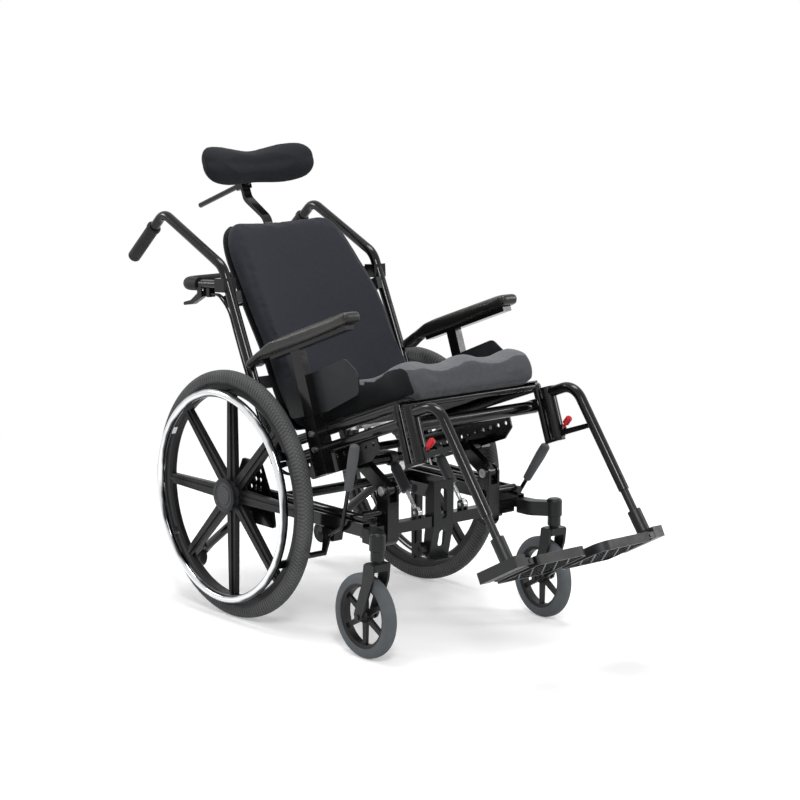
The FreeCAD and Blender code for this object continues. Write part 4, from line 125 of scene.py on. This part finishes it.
def addFloor():  # keeps the shadow near the chair and turns plain white further out
    bpy.ops.mesh.primitive_plane_add(size=studio["floorSize"], location=(0, 0, -studio["floorDrop"]))
    floor = bpy.context.object
    floor.name = "studioFloor"
    paper = bpy.data.materials.new("floorPaper")
    paper.use_nodes = True
    tree = paper.node_tree
    shader = tree.nodes["Principled BSDF"]
    shader.inputs["Roughness"].default_value = studio["floorRoughness"]
    shader.inputs["Specular IOR Level"].default_value = studio["floorSpecular"]
    shader.inputs["Base Color"].default_value = (studio["floorColour"],) * 3 + (1,)
    seen = addSeenRays(tree)
    glow = tree.nodes.new("ShaderNodeEmission")
    tree.links.new(addMath(tree, "MULTIPLY", seen, studio["floorGlow"]), glow.inputs["Strength"])
    lit = tree.nodes.new("ShaderNodeAddShader")
    tree.links.new(shader.outputs[0], lit.inputs[0])
    tree.links.new(glow.outputs[0], lit.inputs[1])
    white = tree.nodes.new("ShaderNodeEmission")
    coords = tree.nodes.new("ShaderNodeTexCoord")
    reach = tree.nodes.new("ShaderNodeVectorMath")
    reach.operation = "LENGTH"
    tree.links.new(coords.outputs["Object"], reach.inputs[0])
    away = addRange(tree, reach.outputs["Value"], studio["litRadius"], studio["whiteRadius"], 0.0, 1.0)
    mixed = tree.nodes.new("ShaderNodeMixShader")
    tree.links.new(addMath(tree, "MULTIPLY", away, seen), mixed.inputs["Fac"])
    tree.links.new(lit.outputs[0], mixed.inputs[1])
    tree.links.new(white.outputs[0], mixed.inputs[2])
    tree.links.new(mixed.outputs[0], tree.nodes["Material Output"].inputs["Surface"])
    floor.data.materials.append(paper)


def addWorld():
    world = bpy.data.worlds.new("studioWorld")
    bpy.context.scene.world = world
    world.use_nodes = True
    tree = world.node_tree
    sky = tree.nodes["Background"]
    sky.inputs["Color"].default_value = (1, 1, 1, 1)
    level = tree.nodes.new("ShaderNodeMix")
    level.data_type = "FLOAT"
    level.inputs["A"].default_value = studio["worldLevel"]
    level.inputs["B"].default_value = 1.0
    tree.links.new(addSeenRays(tree), level.inputs["Factor"])
    tree.links.new(level.outputs["Result"], sky.inputs["Strength"])


def addLamps():
    for name, place, size, power in studio["lamps"]:
        bpy.ops.object.light_add(type="AREA", location=place)
        lamp = bpy.context.object
        lamp.name = name
        lamp.data.shape = "RECTANGLE"
        lamp.data.size, lamp.data.size_y = size
        lamp.data.energy = power
        aim = Vector(studio["lampAim"]) - Vector(place)
        lamp.rotation_euler = aim.to_track_quat("-Z", "Y").to_euler()


addFloor()
addWorld()
addLamps()
bpy.context.scene.view_settings.view_transform = "Standard"
print("camera, floor and lamps placed")


def newGroup(name, numbers, outputs):  # a shader group with a vector input, number inputs and its outputs
    group = bpy.data.node_groups.new(name, "ShaderNodeTree")
    group.interface.new_socket("Vector", in_out="INPUT", socket_type="NodeSocketVector")
    for label, value in numbers.items():
        socket = group.interface.new_socket(label, in_out="INPUT", socket_type="NodeSocketFloat")
        socket.default_value = value
    for label in outputs:
        group.interface.new_socket(label, in_out="OUTPUT", socket_type="NodeSocketFloat")
    return group, group.nodes.new("NodeGroupInput"), group.nodes.new("NodeGroupOutput")


def addNoise(tree, vector, scale, detail, roughness=0.5):
    noise = tree.nodes.new("ShaderNodeTexNoise")
    noise.inputs["Detail"].default_value = detail
    noise.inputs["Roughness"].default_value = roughness
    tree.links.new(vector, noise.inputs["Vector"])
    setInput(tree, noise.inputs["Scale"], scale)
    return noise.outputs["Fac"]


def splitAxes(tree, vector):
    apart = tree.nodes.new("ShaderNodeSeparateXYZ")
    tree.links.new(vector, apart.inputs[0])
    return apart.outputs


def addRadius(tree, vector):  # how far a point lies from the axle line
    axes = splitAxes(tree, vector)
    squares = [addMath(tree, "MULTIPLY", axes[axis], axes[axis]) for axis in (1, 2)]
    return addMath(tree, "SQRT", addMath(tree, "ADD", *squares))


grainLook = {"fineDetail": 2.0, "waveDetail": 1.0, "waveShare": 0.6}


def makeGrain():  # fine pebble for the height of paint, rubber and moulded plastic
    group, given, out = newGroup("surfaceGrain", {"Scale": 900.0, "Waves": 60.0}, ["Height"])
    fine = addNoise(group, given.outputs["Vector"], given.outputs["Scale"], grainLook["fineDetail"])
    broad = addNoise(group, given.outputs["Vector"], given.outputs["Waves"], grainLook["waveDetail"])
    share = addMath(group, "MULTIPLY", broad, grainLook["waveShare"])
    group.links.new(addMath(group, "ADD", fine, share), out.inputs["Height"])
    return group


scuffLook = {"detail": 4.0, "roughness": 0.6, "streakPace": 14.0, "streakDetail": 2.0, "broadShare": 0.7,
             "streakShare": 0.3, "start": 0.36, "full": 0.66}


def makeScuff():  # uneven gloss: broad handling marks crossed by fine streaks
    numbers = {"Scale": 9.0, "Low": 0.2, "High": 0.4}
    group, given, out = newGroup("handledGloss", numbers, ["Roughness", "Mask"])
    vector = given.outputs["Vector"]
    broad = addNoise(group, vector, given.outputs["Scale"], scuffLook["detail"], scuffLook["roughness"])
    pace = addMath(group, "MULTIPLY", given.outputs["Scale"], scuffLook["streakPace"])
    streaks = addNoise(group, vector, pace, scuffLook["streakDetail"])
    mixed = addMath(group, "ADD", addMath(group, "MULTIPLY", broad, scuffLook["broadShare"]),
                    addMath(group, "MULTIPLY", streaks, scuffLook["streakShare"]))
    mask = addRange(group, mixed, scuffLook["start"], scuffLook["full"], 0.0, 1.0)
    group.links.new(mask, out.inputs["Mask"])
    gloss = addRange(group, mask, 0.0, 1.0, given.outputs["Low"], given.outputs["High"])
    group.links.new(gloss, out.inputs["Roughness"])
    return group


wearLook = {"samples": 3, "flat": 0.97, "sharp": 0.72, "scale": 45.0, "detail": 4.0, "roughness": 0.7,
            "start": 0.42, "full": 0.62}


def makeEdgeWearAndGlint():  # brighter along corners: rubbed wear, and on the footplates also painted highlight on the rib edges
    group, given, out = newGroup("rubbedAndGlintEdges", {"Radius": 0.0015, "Amount": 0.6}, ["Mask"])
    bevel = group.nodes.new("ShaderNodeBevel")
    bevel.samples = wearLook["samples"]
    group.links.new(given.outputs["Radius"], bevel.inputs["Radius"])
    place = group.nodes.new("ShaderNodeNewGeometry")
    dot = group.nodes.new("ShaderNodeVectorMath")
    dot.operation = "DOT_PRODUCT"
    group.links.new(bevel.outputs["Normal"], dot.inputs[0])
    group.links.new(place.outputs["Normal"], dot.inputs[1])
    sharp = addRange(group, dot.outputs["Value"], wearLook["flat"], wearLook["sharp"], 0.0, 1.0)
    blotch = addNoise(group, given.outputs["Vector"], wearLook["scale"], wearLook["detail"],
                      wearLook["roughness"])
    patches = addRange(group, blotch, wearLook["start"], wearLook["full"], 0.0, 1.0)
    wearAndGlint = addMath(group, "MULTIPLY", sharp, patches)
    group.links.new(addMath(group, "MULTIPLY", wearAndGlint, given.outputs["Amount"]), out.inputs["Mask"])
    return group


dustLook = {"detail": 6.0, "roughness": 0.65, "start": 0.45, "full": 0.8}


def makeDust():  # a thin grey film that settles in patches
    group, given, out = newGroup("settledDust", {"Scale": 6.0, "Amount": 0.3}, ["Mask"])
    patches = addNoise(group, given.outputs["Vector"], given.outputs["Scale"], dustLook["detail"],
                       dustLook["roughness"])
    film = addRange(group, patches, dustLook["start"], dustLook["full"], 0.0, 1.0)
    group.links.new(addMath(group, "MULTIPLY", film, given.outputs["Amount"]), out.inputs["Mask"])
    return group


knitLook = {"detail": 5.0, "roughness": 0.6, "waveReach": 1.5, "slubHeight": 0.4, "loopShade": 0.35,
            "slubShade": 0.65}


def makeKnit():  # close knit seen as small raised loops, with a slow change of shade
    group, given, out = newGroup("closeKnit", {"Threads": 620.0, "Slub": 35.0}, ["Height", "Shade"])
    axes = splitAxes(group, given.outputs["Vector"])
    pace = addMath(group, "MULTIPLY", given.outputs["Threads"], 2 * math.pi)
    waves = [addMath(group, "SINE", addMath(group, "MULTIPLY", axes[axis], pace)) for axis in range(3)]
    pairs = [addMath(group, "MULTIPLY", waves[one], waves[two]) for one, two in ((0, 1), (0, 2), (1, 2))]
    crossed = addMath(group, "ADD", addMath(group, "ADD", pairs[0], pairs[1]), pairs[2])
    loops = addRange(group, crossed, -knitLook["waveReach"], knitLook["waveReach"], 0.0, 1.0)
    slub = addNoise(group, given.outputs["Vector"], given.outputs["Slub"], knitLook["detail"],
                    knitLook["roughness"])
    height = addMath(group, "ADD", loops, addMath(group, "MULTIPLY", slub, knitLook["slubHeight"]))
    group.links.new(height, out.inputs["Height"])
    shade = addMath(group, "ADD", addMath(group, "MULTIPLY", loops, knitLook["loopShade"]),
                    addMath(group, "MULTIPLY", slub, knitLook["slubShade"]))
    group.links.new(shade, out.inputs["Shade"])
    return group


treadLook = {"groove": -0.15, "crown": 0.2, "shoulder": 0.003}


def makeTread():  # small blocks round a wheel that turns about X, on its outer band only
    group, given, out = newGroup("rollingTread", {"Count": 300.0, "Rows": 170.0, "Band": 0.29}, ["Height"])
    axes = splitAxes(group, given.outputs["Vector"])
    angle = addMath(group, "ARCTAN2", axes[2], axes[1])
    around = addMath(group, "SINE", addMath(group, "MULTIPLY", angle, given.outputs["Count"]))
    pace = addMath(group, "MULTIPLY", given.outputs["Rows"], 2 * math.pi)
    across = addMath(group, "SINE", addMath(group, "MULTIPLY", axes[0], pace))
    blocks = addRange(group, addMath(group, "MULTIPLY", around, across), treadLook["groove"],
                      treadLook["crown"], 0.0, 1.0)
    inside = addMath(group, "SUBTRACT", addRadius(group, given.outputs["Vector"]), given.outputs["Band"])
    band = addRange(group, inside, 0.0, treadLook["shoulder"], 0.0, 1.0)
    group.links.new(addMath(group, "MULTIPLY", blocks, band), out.inputs["Height"])
    return group


grain = makeGrain()
scuff = makeScuff()
edgeWearAndGlint = makeEdgeWearAndGlint()
dust = makeDust()
knit = makeKnit()
tread = makeTread()
print("shared surface effects built")

gammaKnee = {"flatTop": 0.04045, "flatSlope": 12.92, "offset": 0.055, "power": 2.4}


def linear(shade):  # a written colour such as 3a3c42 as Blender's linear one
    colour = []
    for start in (0, 2, 4):
        value = int(shade[start:start + 2], 16) / 255
        if value <= gammaKnee["flatTop"]:
            colour.append(value / gammaKnee["flatSlope"])
        else:
            colour.append(((value + gammaKnee["offset"]) / (1 + gammaKnee["offset"])) ** gammaKnee["power"])
    return tuple(colour) + (1,)


def startFinish(name, centre=(0, 0, 0), lean=0.0, **sockets):
    material = bpy.data.materials.new(name)
    material.use_nodes = True
    tree = material.node_tree
    shader = tree.nodes["Principled BSDF"]
    for label, value in sockets.items():
        shader.inputs[label.replace("_", " ")].default_value = value
    coords = tree.nodes.new("ShaderNodeTexCoord")
    mapping = tree.nodes.new("ShaderNodeMapping")
    mapping.vector_type = "TEXTURE"  # takes the place and the lean away from the pattern
    mapping.inputs["Location"].default_value = centre
    mapping.inputs["Rotation"].default_value = (math.radians(lean), 0, 0)
    tree.links.new(coords.outputs["Object"], mapping.inputs["Vector"])
    return material, tree, shader, mapping.outputs["Vector"]


def addGroup(tree, group, vector, **values):
    node = tree.nodes.new("ShaderNodeGroup")
    node.node_tree = group
    tree.links.new(vector, node.inputs["Vector"])
    for label, value in values.items():
        node.inputs[label].default_value = value
    return node.outputs


def addBlend(tree, factor, first, second):  # one colour over another, each written or linked
    mix = tree.nodes.new("ShaderNodeMix")
    mix.data_type = "RGBA"
    tree.links.new(factor, mix.inputs["Factor"])
    for label, colour in (("A", first), ("B", second)):
        if isinstance(colour, str):
            mix.inputs[label].default_value = linear(colour)
        else:
            tree.links.new(colour, mix.inputs[label])
    return mix.outputs["Result"]


def addBump(tree, shader, height, strength, distance):
    bump = tree.nodes.new("ShaderNodeBump")
    bump.inputs["Strength"].default_value = strength
    bump.inputs["Distance"].default_value = distance
    tree.links.new(height, bump.inputs["Height"])
    tree.links.new(bump.outputs["Normal"], shader.inputs["Normal"])


def addGloss(tree, shader, vector, scale, low, high):
    gloss = addGroup(tree, scuff, vector, Scale=scale, Low=low, High=high)
    tree.links.new(gloss["Roughness"], shader.inputs["Roughness"])
    return gloss["Mask"]


paintLook = {"specular": 0.28, "black": "080809", "rub": "4b4c4e", "film": "3c3d3f", "dustScale": 7.0,
             "dusty": 0.1, "edge": 0.0016, "wearAndGlint": 0.5, "low": 0.1, "high": 0.24, "glossScale": 10.0,
             "grain": 420.0, "waves": 120.0, "peel": 0.015, "depth": 0.0008}


def makePaint(name, colour=paintLook["black"], low=paintLook["low"], high=paintLook["high"]):
    material, tree, shader, vector = startFinish(name, Specular_IOR_Level=paintLook["specular"])
    film = addGroup(tree, dust, vector, Scale=paintLook["dustScale"], Amount=paintLook["dusty"])
    rub = addGroup(tree, edgeWearAndGlint, vector, Radius=paintLook["edge"], Amount=paintLook["wearAndGlint"])
    dusty = addBlend(tree, film["Mask"], colour, paintLook["film"])
    tree.links.new(addBlend(tree, rub["Mask"], dusty, paintLook["rub"]), shader.inputs["Base Color"])
    addGloss(tree, shader, vector, paintLook["glossScale"], low, high)
    peel = addGroup(tree, grain, vector, Scale=paintLook["grain"], Waves=paintLook["waves"])
    addBump(tree, shader, peel["Height"], paintLook["peel"], paintLook["depth"])
    return material


steelLook = {"colour": "8f9194", "rub": "e8e8e6", "streak": 70.0, "low": 0.24, "high": 0.42, "grain": 700.0,
             "waves": 90.0, "strength": 0.04, "depth": 0.0006}


def makeSteel(name):
    material, tree, shader, vector = startFinish(name, Metallic=1.0)
    mask = addGloss(tree, shader, vector, steelLook["streak"], steelLook["low"], steelLook["high"])
    tree.links.new(addBlend(tree, mask, steelLook["colour"], steelLook["rub"]), shader.inputs["Base Color"])
    brushed = addGroup(tree, grain, vector, Scale=steelLook["grain"], Waves=steelLook["waves"])
    addBump(tree, shader, brushed["Height"], steelLook["strength"], steelLook["depth"])
    return material


# bright and dark are painted reflection on the hand rim's chrome: a bright crown and dark flanks
chromeLook = {"bright": "e4e5e7", "dark": "3a3b3d", "ring": 0.253, "tube": 0.01, "glossScale": 16.0,
              "low": 0.05, "high": 0.16, "wanderScale": 7.0, "wanderDetail": 3.0, "wanderFrom": 0.3,
              "wanderTo": 0.7, "wander": 0.35, "crown": 0.42, "flank": 0.8, "grain": 700.0, "waves": 90.0,
              "strength": 0.015, "depth": 0.0006}


def makeChrome(name):  # painted reflection: bright along the crown of the hand rim's tube, dark down its flanks
    material, tree, shader, vector = startFinish(name, centre=wheelPlace, Metallic=1.0)
    addGloss(tree, shader, vector, chromeLook["glossScale"], chromeLook["low"], chromeLook["high"])
    # painted reflection: how far a point lies off the tube's crown sets how dark the chrome's colour is
    aside = addMath(tree, "SUBTRACT", addRadius(tree, vector), chromeLook["ring"])
    drift = addNoise(tree, vector, chromeLook["wanderScale"], chromeLook["wanderDetail"])
    wander = addRange(tree, drift, chromeLook["wanderFrom"], chromeLook["wanderTo"],
                      -chromeLook["wander"], chromeLook["wander"])
    offCrown = addMath(tree, "ADD", addMath(tree, "DIVIDE", aside, chromeLook["tube"]), wander)
    aslant = addMath(tree, "ABSOLUTE", offCrown)
    dark = addRange(tree, aslant, chromeLook["crown"], chromeLook["flank"], 0.0, 1.0)
    paintedReflection = addBlend(tree, dark, chromeLook["bright"], chromeLook["dark"])
    tree.links.new(paintedReflection, shader.inputs["Base Color"])
    polish = addGroup(tree, grain, vector, Scale=chromeLook["grain"], Waves=chromeLook["waves"])
    addBump(tree, shader, polish["Height"], chromeLook["strength"], chromeLook["depth"])
    return material


plasticLook = {"dustScale": 8.0, "edge": 0.0014, "glossScale": 12.0, "waves": 200.0, "depth": 0.0008}


def makePlastic(name, colour, film, low, high, scale=1300.0, strength=0.18, wearAndGlint=0.35, dusty=0.25,
                specular=0.25):
    material, tree, shader, vector = startFinish(name, Specular_IOR_Level=specular)
    coat = addGroup(tree, dust, vector, Scale=plasticLook["dustScale"], Amount=dusty)
    # edge mask: rubbed wear, and on the footplates also painted highlight along the rib edges
    rub = addGroup(tree, edgeWearAndGlint, vector, Radius=plasticLook["edge"], Amount=wearAndGlint)
    dulled = addBlend(tree, coat["Mask"], colour, film)
    tree.links.new(addBlend(tree, rub["Mask"], dulled, film), shader.inputs["Base Color"])
    addGloss(tree, shader, vector, plasticLook["glossScale"], low, high)
    pebble = addGroup(tree, grain, vector, Scale=scale, Waves=plasticLook["waves"])
    addBump(tree, shader, pebble["Height"], strength, plasticLook["depth"])
    return material


magLook = {"specular": 0.25, "colour": "0d0d0e", "cap": "38393b", "film": "3c3d3f", "hub": 0.034,
           "hubEdge": 0.001, "dusty": 0.25, "wearAndGlint": 0.3, "low": 0.34, "high": 0.5, "grain": 1300.0,
           "pebbleShare": 0.2, "ringPace": 900.0, "strength": 0.35, "depth": 0.0012}


def makeMagNylon(name):  # the middle of the wheel's moulding carries a grey ringed cap
    material, tree, shader, vector = startFinish(
        name, centre=wheelPlace, Specular_IOR_Level=magLook["specular"])
    radius = addRadius(tree, vector)
    inside = addRange(tree, radius, magLook["hub"] - magLook["hubEdge"], magLook["hub"] + magLook["hubEdge"],
                      1.0, 0.0)
    coat = addGroup(tree, dust, vector, Scale=plasticLook["dustScale"], Amount=magLook["dusty"])
    rub = addGroup(tree, edgeWearAndGlint, vector, Radius=plasticLook["edge"], Amount=magLook["wearAndGlint"])
    capped = addBlend(tree, inside, magLook["colour"], magLook["cap"])
    dulled = addBlend(tree, coat["Mask"], capped, magLook["film"])
    tree.links.new(addBlend(tree, rub["Mask"], dulled, magLook["film"]), shader.inputs["Base Color"])
    addGloss(tree, shader, vector, plasticLook["glossScale"], magLook["low"], magLook["high"])
    pebble = addGroup(tree, grain, vector, Scale=magLook["grain"], Waves=plasticLook["waves"])
    ripple = addMath(tree, "SINE", addMath(tree, "MULTIPLY", radius, magLook["ringPace"]))
    rings = addMath(tree, "MULTIPLY", ripple, inside)
    height = addMath(tree, "ADD", addMath(tree, "MULTIPLY", pebble["Height"], magLook["pebbleShare"]), rings)
    addBump(tree, shader, height, magLook["strength"], magLook["depth"])
    return material


tyreLook = {"specular": 0.2, "dustScale": 9.0, "dusty": 0.35, "blockShade": 0.35, "glossScale": 14.0,
            "low": 0.55, "high": 0.75, "grain": 1500.0, "waves": 90.0, "grainShare": 0.12, "depth": 0.0012}


def makeTyre(name, colour, film, centre, count, rows, band, strength):
    material, tree, shader, vector = startFinish(name, centre=centre, Specular_IOR_Level=tyreLook["specular"])
    coat = addGroup(tree, dust, vector, Scale=tyreLook["dustScale"], Amount=tyreLook["dusty"])
    blocks = addGroup(tree, tread, vector, Count=count, Rows=rows, Band=band)["Height"]
    shaded = addBlend(tree, addMath(tree, "MULTIPLY", blocks, tyreLook["blockShade"]), colour, film)
    tree.links.new(addBlend(tree, coat["Mask"], shaded, film), shader.inputs["Base Color"])
    addGloss(tree, shader, vector, tyreLook["glossScale"], tyreLook["low"], tyreLook["high"])
    pebble = addGroup(tree, grain, vector, Scale=tyreLook["grain"], Waves=tyreLook["waves"])
    fine = addMath(tree, "MULTIPLY", pebble["Height"], tyreLook["grainShare"])
    addBump(tree, shader, addMath(tree, "ADD", blocks, fine), strength, tyreLook["depth"])
    return material


clothLook = {"specular": 0.1, "sheenRoughness": 0.45, "slub": 90.0, "lintScale": 14.0, "lint": 0.12,
             "shadeFrom": 0.15, "shadeTo": 0.85, "glossFrom": 0.2, "glossTo": 0.8, "low": 0.72, "high": 0.92,
             "strength": 0.35, "depth": 0.0006}


def makeCloth(name, dark, light, threads=520.0, lean=seatLean, sheen=0.05):
    material, tree, shader, vector = startFinish(
        name, lean=-lean, Sheen_Weight=sheen, Sheen_Roughness=clothLook["sheenRoughness"],
        Specular_IOR_Level=clothLook["specular"])
    loops = addGroup(tree, knit, vector, Threads=threads, Slub=clothLook["slub"])
    lint = addGroup(tree, dust, vector, Scale=clothLook["lintScale"], Amount=clothLook["lint"])
    shade = addRange(tree, loops["Shade"], clothLook["shadeFrom"], clothLook["shadeTo"], 0.0, 1.0)
    woven = addBlend(tree, shade, dark, light)
    tree.links.new(addBlend(tree, lint["Mask"], woven, light), shader.inputs["Base Color"])
    gloss = addRange(tree, loops["Shade"], clothLook["glossFrom"], clothLook["glossTo"],
                     clothLook["low"], clothLook["high"])
    tree.links.new(gloss, shader.inputs["Roughness"])
    addBump(tree, shader, loops["Height"], clothLook["strength"], clothLook["depth"])
    return material


framePaint = makePaint("framePaint")
castPaint = makePaint("castPaint", "101112", low=0.3, high=0.46)
zincSteel = makeSteel("zincSteel")
chrome = makeChrome("handrimChrome")
wheelNylon = makePlastic("wheelNylon", "101011", "3c3d3f", low=0.34, high=0.5, wearAndGlint=0.3)
magNylon = makeMagNylon("magNylon")
shellPlastic = makePlastic("shellPlastic", "141517", "3a3b3e", low=0.4, high=0.58)
guardPlastic = makePlastic("guardPlastic", "17191b", "3e4144", low=0.38, high=0.55, scale=900.0)
# footplates: strong edge mask towards the pale film, partly rubbed wear and partly painted highlight standing in
# for glints on the ribs
footPlastic = makePlastic("footPlastic", "101113", "7c7e82", low=0.3, high=0.5, wearAndGlint=0.85, dusty=0.12)
gripRubber = makePlastic("gripRubber", "121213", "3c3c3e", low=0.5, high=0.68, scale=1600.0, strength=0.3)
leverRubber = makePlastic("leverRubber", "47484a", "66676a", low=0.5, high=0.66, scale=1600.0)
foamSkin = makePlastic("foamSkin", "141210", "35322f", low=0.26, high=0.38, scale=1100.0, strength=0.12,
                       wearAndGlint=0.0, dusty=0.1, specular=0.4)
redKnob = makePlastic("redKnob", "b3161f", "d8515a", low=0.25, high=0.4, wearAndGlint=0.2, dusty=0.1)
cableSkin = makePlastic("cableSkin", "0e0e0f", "333335", low=0.4, high=0.55, wearAndGlint=0.0)
strutGrey = makePlastic("strutGrey", "3b3c3f", "5e6064", low=0.3, high=0.45, wearAndGlint=0.2)
rearRubber = makeTyre("rearRubber", "3a3b3b", "6b6c6b", wheelPlace,
                      count=200.0, rows=95.0, band=0.276, strength=1.0)
casterRubber = makeTyre("casterRubber", "4d5154", "72777a", casterPlace,
                        count=8.0, rows=40.0, band=0.2, strength=0.3)
tipRubber = makeTyre("tipRubber", "1b1b1c", "414143", tipPlace, count=8.0, rows=40.0, band=0.2, strength=0.3)
backCloth = makeCloth("backCloth", "1d1f24", "2b2d33", lean=33.5)
seatCloth = makeCloth("seatCloth", "525457", "696b6e", threads=420.0, sheen=0.1)
# painted shade: the seat top's grey knit made darker, for the cushion's front and back faces
shadedSeatCloth = makeCloth("shadedSeatCloth", "3a3b3e", "4c4e51", threads=420.0, sheen=0.1)
sideCloth = makeCloth("sideCloth", "0c0d0e", "1b1c1e", threads=420.0, sheen=0.03)
headCloth = makeCloth("headCloth", "15161a", "222428")
print("finishes mixed")

finishes = {
    "rear_tyre": rearRubber, "mag_wheel": magNylon, "handrim": chrome, "rear_axles": zincSteel,
    "base_rails": framePaint, "base_crossbars": framePaint, "front_posts": framePaint,
    "axle_plates": framePaint, "centre_channel": castPaint, "caster_housings": castPaint, "caster_fork": castPaint,
    "caster_tyre": casterRubber, "caster_wheel": wheelNylon, "wheel_lock_clamps": framePaint,
    "wheel_lock_lever": framePaint, "wheel_lock_grip": leverRubber, "anti_tip_tubes": framePaint,
    "anti_tip_wheel": tipRubber, "base_bolts": zincSteel, "seat_rails": framePaint,
    "seat_cross_tubes": framePaint, "seat_pan": framePaint, "pivot_brackets": framePaint,
    "back_canes": framePaint, "grips": gripRubber, "push_bar": framePaint, "tilt_trigger": castPaint,
    "back_shell": shellPlastic, "arm_sockets": framePaint, "armrest_post": framePaint,
    "side_panel": guardPlastic, "hanger": framePaint, "footrest_extension": castPaint,
    "footplate": footPlastic, "latch_lever": redKnob, "lock_cylinders": strutGrey, "lock_rods": zincSteel,
    "headrest_bar": framePaint, "tilt_cables": cableSkin, "seat_bolts": zincSteel, "seat_cushion": seatCloth,
    "back_cushion": backCloth, "headrest_pad": headCloth, "arm_pad": foamSkin}


def dressParts():
    for name, part in parts.items():
        family = name.removesuffix("_right").removesuffix("_left")
        for place in part.material_slots:
            place.material = finishes[family]
        if not part.material_slots:
            part.data.materials.append(finishes[family])


dressParts()
print("parts dressed")

mergeGap = 0.00005


def pickOnly(piece):
    bpy.ops.object.select_all(action="DESELECT")
    piece.select_set(True)
    bpy.context.view_layer.objects.active = piece


def copyPart(name, newName):  # a part's shape as a new piece, its loose faces joined up
    source = parts[name]
    piece = source.copy()
    piece.data = source.data.copy()
    piece.name = newName
    piece.data.name = newName
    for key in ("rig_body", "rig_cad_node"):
        if key in piece:
            del piece[key]
    piece.parent = None
    bpy.context.scene.collection.objects.link(piece)
    pickOnly(piece)
    bpy.ops.object.mode_set(mode="EDIT")
    bpy.ops.mesh.select_all(action="SELECT")
    bpy.ops.mesh.remove_doubles(threshold=mergeGap)
    bpy.ops.mesh.normals_make_consistent(inside=False)
    bpy.ops.object.mode_set(mode="OBJECT")
    return piece


def readPoints(mesh):
    points = np.zeros(len(mesh.vertices) * 3)
    mesh.vertices.foreach_get("co", points)
    return points.reshape(-1, 3)


coverCloth = {"soften": 0.5, "quality": 5, "mass": 0.3, "bending": 0.5, "frames": 20, "stillness": 1e-9}


def blowUp(piece, settings):  # pressure under the cover moves each point no further than the cap
    before = readPoints(piece.data)
    cover = piece.modifiers.new("cover", "CLOTH")
    cloth = cover.settings
    cloth.quality = coverCloth["quality"]
    cloth.mass = coverCloth["mass"]
    cloth.tension_stiffness = settings["stiff"]
    cloth.compression_stiffness = settings["stiff"]
    cloth.bending_stiffness = coverCloth["bending"]
    cloth.use_pressure = True
    cloth.uniform_pressure_force = settings["pressure"]
    cloth.effector_weights.gravity = 0
    cover.point_cache.frame_start = 1
    cover.point_cache.frame_end = coverCloth["frames"]
    for step in range(1, coverCloth["frames"] + 1):
        bpy.context.scene.frame_set(step)
    bpy.ops.object.modifier_apply(modifier="cover")
    bpy.context.scene.frame_set(1)
    moved = readPoints(piece.data) - before
    moved -= moved.mean(axis=0)
    far = np.linalg.norm(moved, axis=1, keepdims=True)
    moved *= np.minimum(1.0, settings["cap"] / np.maximum(far, coverCloth["stillness"]))
    piece.data.vertices.foreach_set("co", (before + moved).ravel())
    piece.data.update()


def fillCover(piece, settings):  # an even grid, softened and drawn in, then blown up like stuffed cloth
    pickOnly(piece)
    grid = piece.modifiers.new("grid", "REMESH")
    grid.mode = "VOXEL"
    grid.voxel_size = settings["grid"]
    bpy.ops.object.modifier_apply(modifier="grid")
    soften = piece.modifiers.new("soften", "SMOOTH")
    soften.factor = coverCloth["soften"]
    soften.iterations = settings["soften"]
    bpy.ops.object.modifier_apply(modifier="soften")
    bpy.ops.object.mode_set(mode="EDIT")
    bpy.ops.mesh.select_all(action="SELECT")
    bpy.ops.transform.shrink_fatten(value=-settings["drawIn"])
    bpy.ops.object.mode_set(mode="OBJECT")
    blowUp(piece, settings)
    finer = piece.modifiers.new("finer", "SUBSURF")
    finer.levels = finer.render_levels = 1
    bpy.ops.object.modifier_apply(modifier="finer")
    bpy.ops.object.shade_smooth()


backPad = {"grid": 0.006, "soften": 6, "drawIn": 0.001, "stiff": 12.0, "pressure": 3.0, "cap": 0.007}


def makeBackPad():
    piece = copyPart("back_cushion", "backPad")
    fillCover(piece, backPad)
    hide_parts("back_cushion")
    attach(piece, "seat")


makeBackPad()
print("back pad filled")

seatPad = {"grid": 0.0055, "soften": 8, "drawIn": 0.003, "stiff": 10.0, "pressure": 4.0, "cap": 0.008,
           "sideNormal": 0.72, "topNormal": 0.5, "panels": (seatCloth, shadedSeatCloth, sideCloth)}


def dressPanels(piece):  # grey top, painted shade on the front and back (a darker copy of the top's cloth), black sides, told apart on the level seat
    piece.data.materials.clear()
    for finish in seatPad["panels"]:
        piece.data.materials.append(finish)
    turn = math.radians(seatLean)
    for face in piece.data.polygons:
        upward = face.normal.y * math.sin(turn) + face.normal.z * math.cos(turn)
        # faces turned away from the top get the painted shade copy of the top's cloth
        face.material_index = 1 if upward < seatPad["topNormal"] else 0
        if abs(face.normal.x) > seatPad["sideNormal"]:
            face.material_index = 2


def makeSeatPad():
    piece = copyPart("seat_cushion", "seatPad")
    fillCover(piece, seatPad)
    dressPanels(piece)
    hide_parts("seat_cushion")
    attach(piece, "seat")


makeSeatPad()
print("seat pad filled")

headPad = {"grid": 0.004, "soften": 4, "drawIn": 0.002, "stiff": 12.0, "pressure": 4.0, "cap": 0.006}


def makeHeadPad():
    piece = copyPart("headrest_pad", "headPad")
    fillCover(piece, headPad)
    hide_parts("headrest_pad")
    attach(piece, "headrest")


makeHeadPad()
print("head pad filled")

armPad = {"grid": 0.0035, "soften": 10, "drawIn": 0.0, "stiff": 14.0, "pressure": 3.0, "cap": 0.004}


def makeArmPad(side):
    piece = copyPart("arm_pad_" + side, "armPad" + side.capitalize())
    fillCover(piece, armPad)
    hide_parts("arm_pad_" + side)
    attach(piece, "arm_" + side)


for hand in ("left", "right"):
    makeArmPad(hand)
print("arm pads rounded")
